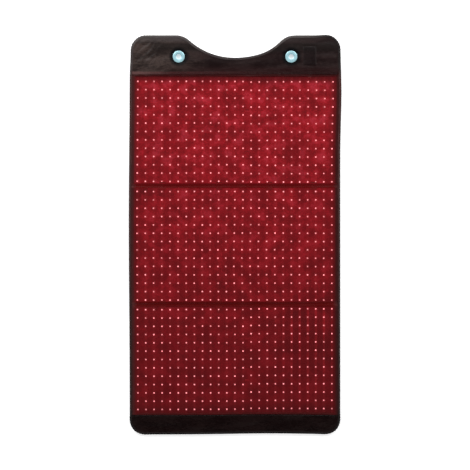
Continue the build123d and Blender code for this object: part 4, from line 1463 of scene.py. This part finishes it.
@finish
def lamp_lens(tree):
    """The lit resin of a lamp: brightest in the middle, each lamp a little different."""
    glow = add(tree, "Attribute", {}, output=2, attribute_name="glow")
    place = on_object(tree)
    tone = noise(tree, place, 700.0, 1.0)
    level = times(tree, glow, ramp(tree, tone, 0.3, 0.7, 0.9, 1.1))
    light = colour(1.0, 0.270, 0.305)[:3]
    return {
        "Base Color": mixed(tree, tone, colour(0.45, 0.20, 0.20), colour(0.60, 0.30, 0.30)),
        "Roughness": 0.18,
        "Emission Color": add(tree, "VectorMath", {0: light, 3: level}, operation="SCALE"),
        "Emission Strength": 1.65,
    }


@finish
def ribbon_film(tree):
    """Dark coverlay over copper tracks that run along the ribbon, lit through by the lamps."""
    place = on_map(tree)
    across, y = add(tree, "SeparateXYZ", {0: place}).node.outputs[:2]
    wave = add(tree, "Math", {0: times(tree, across, 2 * math.pi / 0.0024)}, operation="COSINE")
    track = ramp(tree, wave, -0.2, 0.2)
    tone = use(tree, "mottle", {"Place": place, "Broad": 60.0, "Small": 400.0})
    base = mixed(tree, track, colour(0.012, 0.0020, 0.0018), colour(0.028, 0.0060, 0.0040))
    return {
        "Base Color": base,
        "Roughness": ramp(tree, tone, 0.2, 0.8, 0.4, 0.6),
        "Normal": raised(tree, track, 0.00008, 0.8),
        "Specular IOR Level": 0.15,
        "Emission Color": fold_glow(tree, place, y),
        "Emission Strength": 1.0,
    }


@finish
def foam(tree):
    """Dark brown closed-cell foam."""
    place = on_map(tree)
    cells = add(tree, "TexVoronoi", {"Vector": place, "Scale": 1100.0})
    tone = use(tree, "mottle", {"Place": place, "Broad": 20.0, "Small": 220.0})
    base = mixed(tree, tone, colour(0.030, 0.0080, 0.0070), colour(0.050, 0.0140, 0.0120))
    return {
        "Base Color": mixed(tree, cells, base, colour(0.016, 0.007, 0.007)),
        "Roughness": ramp(tree, tone, 0.2, 0.8, 0.85, 0.95),
        "Normal": raised(tree, cells, 0.0002, 0.7),
        "Specular IOR Level": 0.1,
    }


def fold_glow(tree, place, y):
    """The lamps' light in the open gap of each fold: bright on the upper panel's side of the
    first fold and deep red below it, and darker in the second."""
    wander = times(tree, plus(tree, noise(tree, place, 70.0, 3.0, 0.6), -0.5), 0.007)
    edge = ramp(tree, plus(tree, y, wander), UPPER_FOLD_Y + 0.0002, UPPER_FOLD_Y + 0.0036)
    first = mixed(tree, edge, colour(0.112, 0.0026, 0.0018), colour(0.190, 0.0050, 0.0080))
    middle = MEETING_Y - 0.01
    both = mixed(tree, ramp(tree, y, middle, middle + 0.02), colour(0.054, 0.0015, 0.0008), first)
    grain = noise(tree, place, 230.0, 2.0, 0.7)
    return add(tree, "VectorMath", {0: both, 3: ramp(tree, grain, 0.3, 0.7, 0.65, 1.35)}, operation="SCALE")


@finish
def lining(tree):
    """Thin maroon lining inside the back cover, lit by the lamps where a fold opens to it."""
    place = on_map(tree)
    y = add(tree, "SeparateXYZ", {0: place}).node.outputs[1]
    weave = use(tree, "weave", {"Place": place, "Ribs": 700.0, "Yarns": 700.0})
    tone = use(tree, "mottle", {"Place": place, "Broad": 20.0, "Small": 200.0})
    return {
        "Base Color": mixed(tree, tone, colour(0.016, 0.0022, 0.0020), colour(0.028, 0.0040, 0.0036)),
        "Roughness": ramp(tree, tone, 0.2, 0.8, 0.75, 0.9),
        "Normal": raised(tree, weave, 0.00012, 0.8),
        "Specular IOR Level": 0.05,
        "Emission Color": fold_glow(tree, place, y),
        "Emission Strength": 1.0,
    }


@finish
def reflector(tree):
    """Crinkled metallised sheet, painted copper-red for the lamps' red light that it reflects."""
    place = on_object(tree)
    crinkle = noise(tree, place, 90.0, 5.0, 0.7)
    # Painted reflection: the copper-red stands in for the lamps' red light on the silver sheet.
    base = mixed(tree, crinkle, colour(0.14, 0.018, 0.016), colour(0.28, 0.045, 0.040))
    return {
        "Base Color": base,
        "Metallic": 1.0,
        "Roughness": ramp(tree, crinkle, 0.3, 0.7, 0.35, 0.55),
        "Normal": raised(tree, crinkle, 0.0006, 0.6),
    }


@finish
def eyelet_metal(tree):
    """Plated metal, scuffed: pale cyan, partly its own colour and partly a painted reflection
    of the bright surroundings, with painted shade inside the bore.
    """
    place = on_object(tree)
    scuffs = use(tree, "wear", {"Place": place, "Patches": 320.0, "Amount": 0.8})
    tone = use(tree, "mottle", {"Place": place, "Broad": 110.0, "Small": 600.0})
    # Pale cyan: partly the plating's own colour, partly a painted reflection of the bright surroundings.
    base = mixed(tree, tone, colour(0.30, 0.60, 0.68), colour(0.48, 0.76, 0.83))
    base = mixed(tree, scuffs, base, colour(0.62, 0.82, 0.87))
    x, y = add(tree, "SeparateXYZ", {0: place}).node.outputs[:2]
    across = plus(tree, add(tree, "Math", {0: x}, operation="ABSOLUTE"), -EYELET_X)
    offset = add(tree, "CombineXYZ", {0: across, 1: plus(tree, y, -EYELET_Y)})
    away = add(tree, "VectorMath", {0: offset}, output=1, operation="LENGTH")
    # Painted shade on the bore's inner wall.
    base = mixed(tree, ramp(tree, away, 0.0102, 0.0112, 0.8, 0.0), base, colour(0.10, 0.30, 0.37))
    return {
        "Base Color": base,
        "Metallic": 0.35,
        "Roughness": ramp(tree, plus(tree, tone, times(tree, scuffs, 0.3)), 0.2, 0.9, 0.26, 0.48),
        "Normal": raised(tree, tone, 0.00008, 0.6),
    }


def moulded(tree, dark, light, grain_depth=0.00006, roughness=(0.42, 0.6)):
    """Sockets of a moulded plastic with a fine sparked texture, rubbed in places."""
    place = on_object(tree)
    spark = noise(tree, place, 2200.0, 3.0, 0.6)
    rubbed = use(tree, "wear", {"Place": place, "Patches": 120.0, "Amount": 0.5})
    tone = use(tree, "mottle", {"Place": place, "Broad": 40.0, "Small": 300.0})
    return {
        "Base Color": mixed(tree, rubbed, mixed(tree, tone, dark, light), light),
        "Roughness": ramp(tree, plus(tree, tone, times(tree, rubbed, -0.3)), 0.2, 0.8, *roughness),
        "Normal": raised(tree, spark, grain_depth, 0.7),
    }


@finish
def box_plastic(tree):
    """Black ABS of the junction box."""
    return moulded(tree, colour(0.012, 0.012, 0.013), colour(0.030, 0.030, 0.032))


@finish
def socket_plastic(tree):
    """Glossier black nylon of the inlet."""
    return moulded(tree, colour(0.010, 0.010, 0.010), colour(0.022, 0.022, 0.023), 0.00003, (0.26, 0.4))


@finish
def connector_plastic(tree):
    """Dark translucent red nylon of the ribbon connectors, lit through by the lamps."""
    tone = noise(tree, on_object(tree), 60.0, 2.0)
    glow = mixed(tree, tone, colour(0.070, 0.0016, 0.0018), colour(0.130, 0.0030, 0.0045))
    plain = moulded(tree, colour(0.020, 0.0030, 0.0028), colour(0.038, 0.0060, 0.0055), 0.00003)
    return {**plain, "Specular IOR Level": 0.15, "Emission Color": glow, "Emission Strength": 1.0}


@finish
def lead_sheath(tree):
    """Soft black sheath of the flat power lead."""
    return moulded(tree, colour(0.014, 0.013, 0.013), colour(0.028, 0.026, 0.026), 0.00005, (0.5, 0.7))


@finish
def control_board(tree):
    """Green solder mask over tracks."""
    place = on_object(tree)
    blocks = add(tree, "TexBrick", {"Vector": place, "Scale": 320.0, "Mortar Size": 0.03}, output=1)
    tone = use(tree, "mottle", {"Place": place, "Broad": 80.0, "Small": 500.0})
    base = mixed(tree, tone, colour(0.006, 0.060, 0.026), colour(0.010, 0.095, 0.040))
    return {
        "Base Color": mixed(tree, blocks, base, colour(0.025, 0.160, 0.070)),
        "Roughness": ramp(tree, tone, 0.2, 0.8, 0.24, 0.38),
        "Normal": raised(tree, blocks, 0.00004, 0.8),
    }


def plated(tree, dark, light, roughness):
    """Sockets of a brushed or plated metal."""
    place = on_object(tree)
    brushed = noise(tree, stretched(tree, place, 1.0, 14.0), 900.0, 2.0)
    tone = use(tree, "mottle", {"Place": place, "Broad": 150.0, "Small": 900.0})
    return {
        "Base Color": mixed(tree, tone, dark, light),
        "Metallic": 1.0,
        "Roughness": ramp(tree, brushed, 0.3, 0.7, *roughness),
        "Normal": raised(tree, brushed, 0.00003, 0.5),
    }


@finish
def screw_steel(tree):
    """Zinc-plated steel of the lid screws."""
    return plated(tree, colour(0.50, 0.50, 0.50), colour(0.66, 0.66, 0.65), (0.22, 0.38))


@finish
def contact_brass(tree):
    """Brass of the inlet's contacts."""
    return plated(tree, colour(0.62, 0.40, 0.14), colour(0.80, 0.56, 0.24), (0.2, 0.35))


@finish
def link_film(tree):
    """Crimson coverlay of the links that join the boards, lit through like the boards."""
    place = on_object(tree)
    tone = use(tree, "mottle", {"Place": place, "Broad": 11.0, "Small": 130.0})
    return {
        "Base Color": mixed(tree, tone, colour(0.060, 0.004, 0.005), colour(0.090, 0.008, 0.009)),
        "Roughness": ramp(tree, tone, 0.2, 0.8, 0.5, 0.7),
        "Normal": raised(tree, noise(tree, place, 420.0), 0.00005, 0.5),
        "Specular IOR Level": 0.15,
        "Emission Color": mixed(tree, tone, colour(0.090, 0.0014, 0.0028), colour(0.170, 0.0040, 0.0070)),
        "Emission Strength": 1.0,
    }


# ==== the CAD nodes that show =============================================================
NODE_FINISHES = {
    "upper_reflector_sheet": reflector,
    "middle_reflector_sheet": reflector,
    "lower_reflector_sheet": reflector,
    "upper_board_connectors": connector_plastic,
    "middle_board_connectors": connector_plastic,
    "lower_board_connectors": connector_plastic,
    "upper_board_links": link_film,
    "middle_board_links": link_film,
    "lower_board_links": link_film,
    "junction_box_base": box_plastic,
    "junction_box_lid": box_plastic,
    "junction_box_screws": screw_steel,
    "control_board": control_board,
    "power_inlet_socket": socket_plastic,
    "power_inlet_contacts": contact_brass,
    "power_lead": lead_sheath,
}


def finish_nodes():
    """Gives each CAD node that stays in view its finish."""
    for name, material in NODE_FINISHES.items():
        mesh = frame["nodes"][name].data
        mesh.materials.clear()
        mesh.materials.append(material())


# ==== floor, light and camera =============================================================
def make_floor():
    """A plain white floor just under the mat, lit a little from below."""
    half = 9.0
    corners = np.array([(-half, -half, 0), (half, -half, 0), (half, half, 0), (-half, half, 0)])
    floor = new_piece("floor", corners + np.array([0, 0, -0.0004]), [np.array([[0, 1, 2, 3]])])
    material = bpy.data.materials.new("floor_white")
    material.use_nodes = True
    shader = material.node_tree.nodes["Principled BSDF"]
    shader.inputs["Base Color"].default_value = colour(0.93, 0.93, 0.93)
    shader.inputs["Roughness"].default_value = 0.9
    shader.inputs["Specular IOR Level"].default_value = 0.1
    shader.inputs["Emission Color"].default_value = colour(1.0, 1.0, 1.0)
    shader.inputs["Emission Strength"].default_value = 0.45
    floor.data.materials.append(material)


def make_lamp_light(name, azimuth, elevation, power, size, distance=4.6):
    """A square area light that looks at the mat from an azimuth counted from +X."""
    a, e = math.radians(azimuth), math.radians(elevation)
    light = bpy.data.lights.new(name, "AREA")
    light.size = size
    light.energy = power
    lamp = bpy.data.objects.new(name, light)
    lamp.location = (
        distance * math.cos(e) * math.cos(a), distance * math.cos(e) * math.sin(a), distance * math.sin(e)
    )
    lamp.rotation_euler = (math.pi / 2 - e, 0, a + math.pi / 2)
    bpy.context.scene.collection.objects.link(lamp)


def make_world():
    """A pale surround that dims towards the zenith, so that the film stays clear."""
    world = bpy.data.worlds.new("studio")
    world.use_nodes = True
    tree = world.node_tree
    height = add(tree, "SeparateXYZ", {0: add(tree, "TexCoord", {}, output=0)}).node.outputs[2]
    background = tree.nodes["Background"]
    above = ramp(tree, height, 0.1, 0.75)
    sky = mixed(tree, above, colour(1.0, 1.0, 1.0), colour(0.05, 0.05, 0.052))
    join(tree, background.inputs["Color"], sky)
    background.inputs["Strength"].default_value = 1.0
    bpy.context.scene.world = world


def make_camera():
    """Straight above the mat, with the head at the top of the view."""
    camera = bpy.data.cameras.new("camera")
    camera.lens = 85
    camera.sensor_width = 36
    view_width = 1.7815
    distance = view_width * camera.lens / camera.sensor_width
    eye = bpy.data.objects.new("camera", camera)
    eye.location = (0, -0.0004, Z_FACE + distance)
    bpy.context.scene.collection.objects.link(eye)
    bpy.context.scene.camera = eye


def main():
    """The whole mat."""
    make_camera()
    make_world()
    make_floor()
    make_lamp_light("light_head_left", 125, 28, 165, 2.6)
    make_lamp_light("light_head_right", 50, 28, 135, 2.6)
    make_lamp_light("light_foot_left", -130, 30, 50, 2.6)
    make_lamp_light("light_foot_right", -50, 30, 50, 2.6)
    make_foams()
    for name, side in BOARD_BOX:
        make_board(name, side)
    for name in PANELS:
        make_lamps(name)
    for end in ("upper", "lower"):
        make_ribbons(end)
    make_back_covers()
    make_window_films()
    make_skins()
    make_hem()
    make_bindings()
    make_eyelets()
    finish_nodes()
    bpy.context.scene.view_settings.view_transform = "Standard"


main()
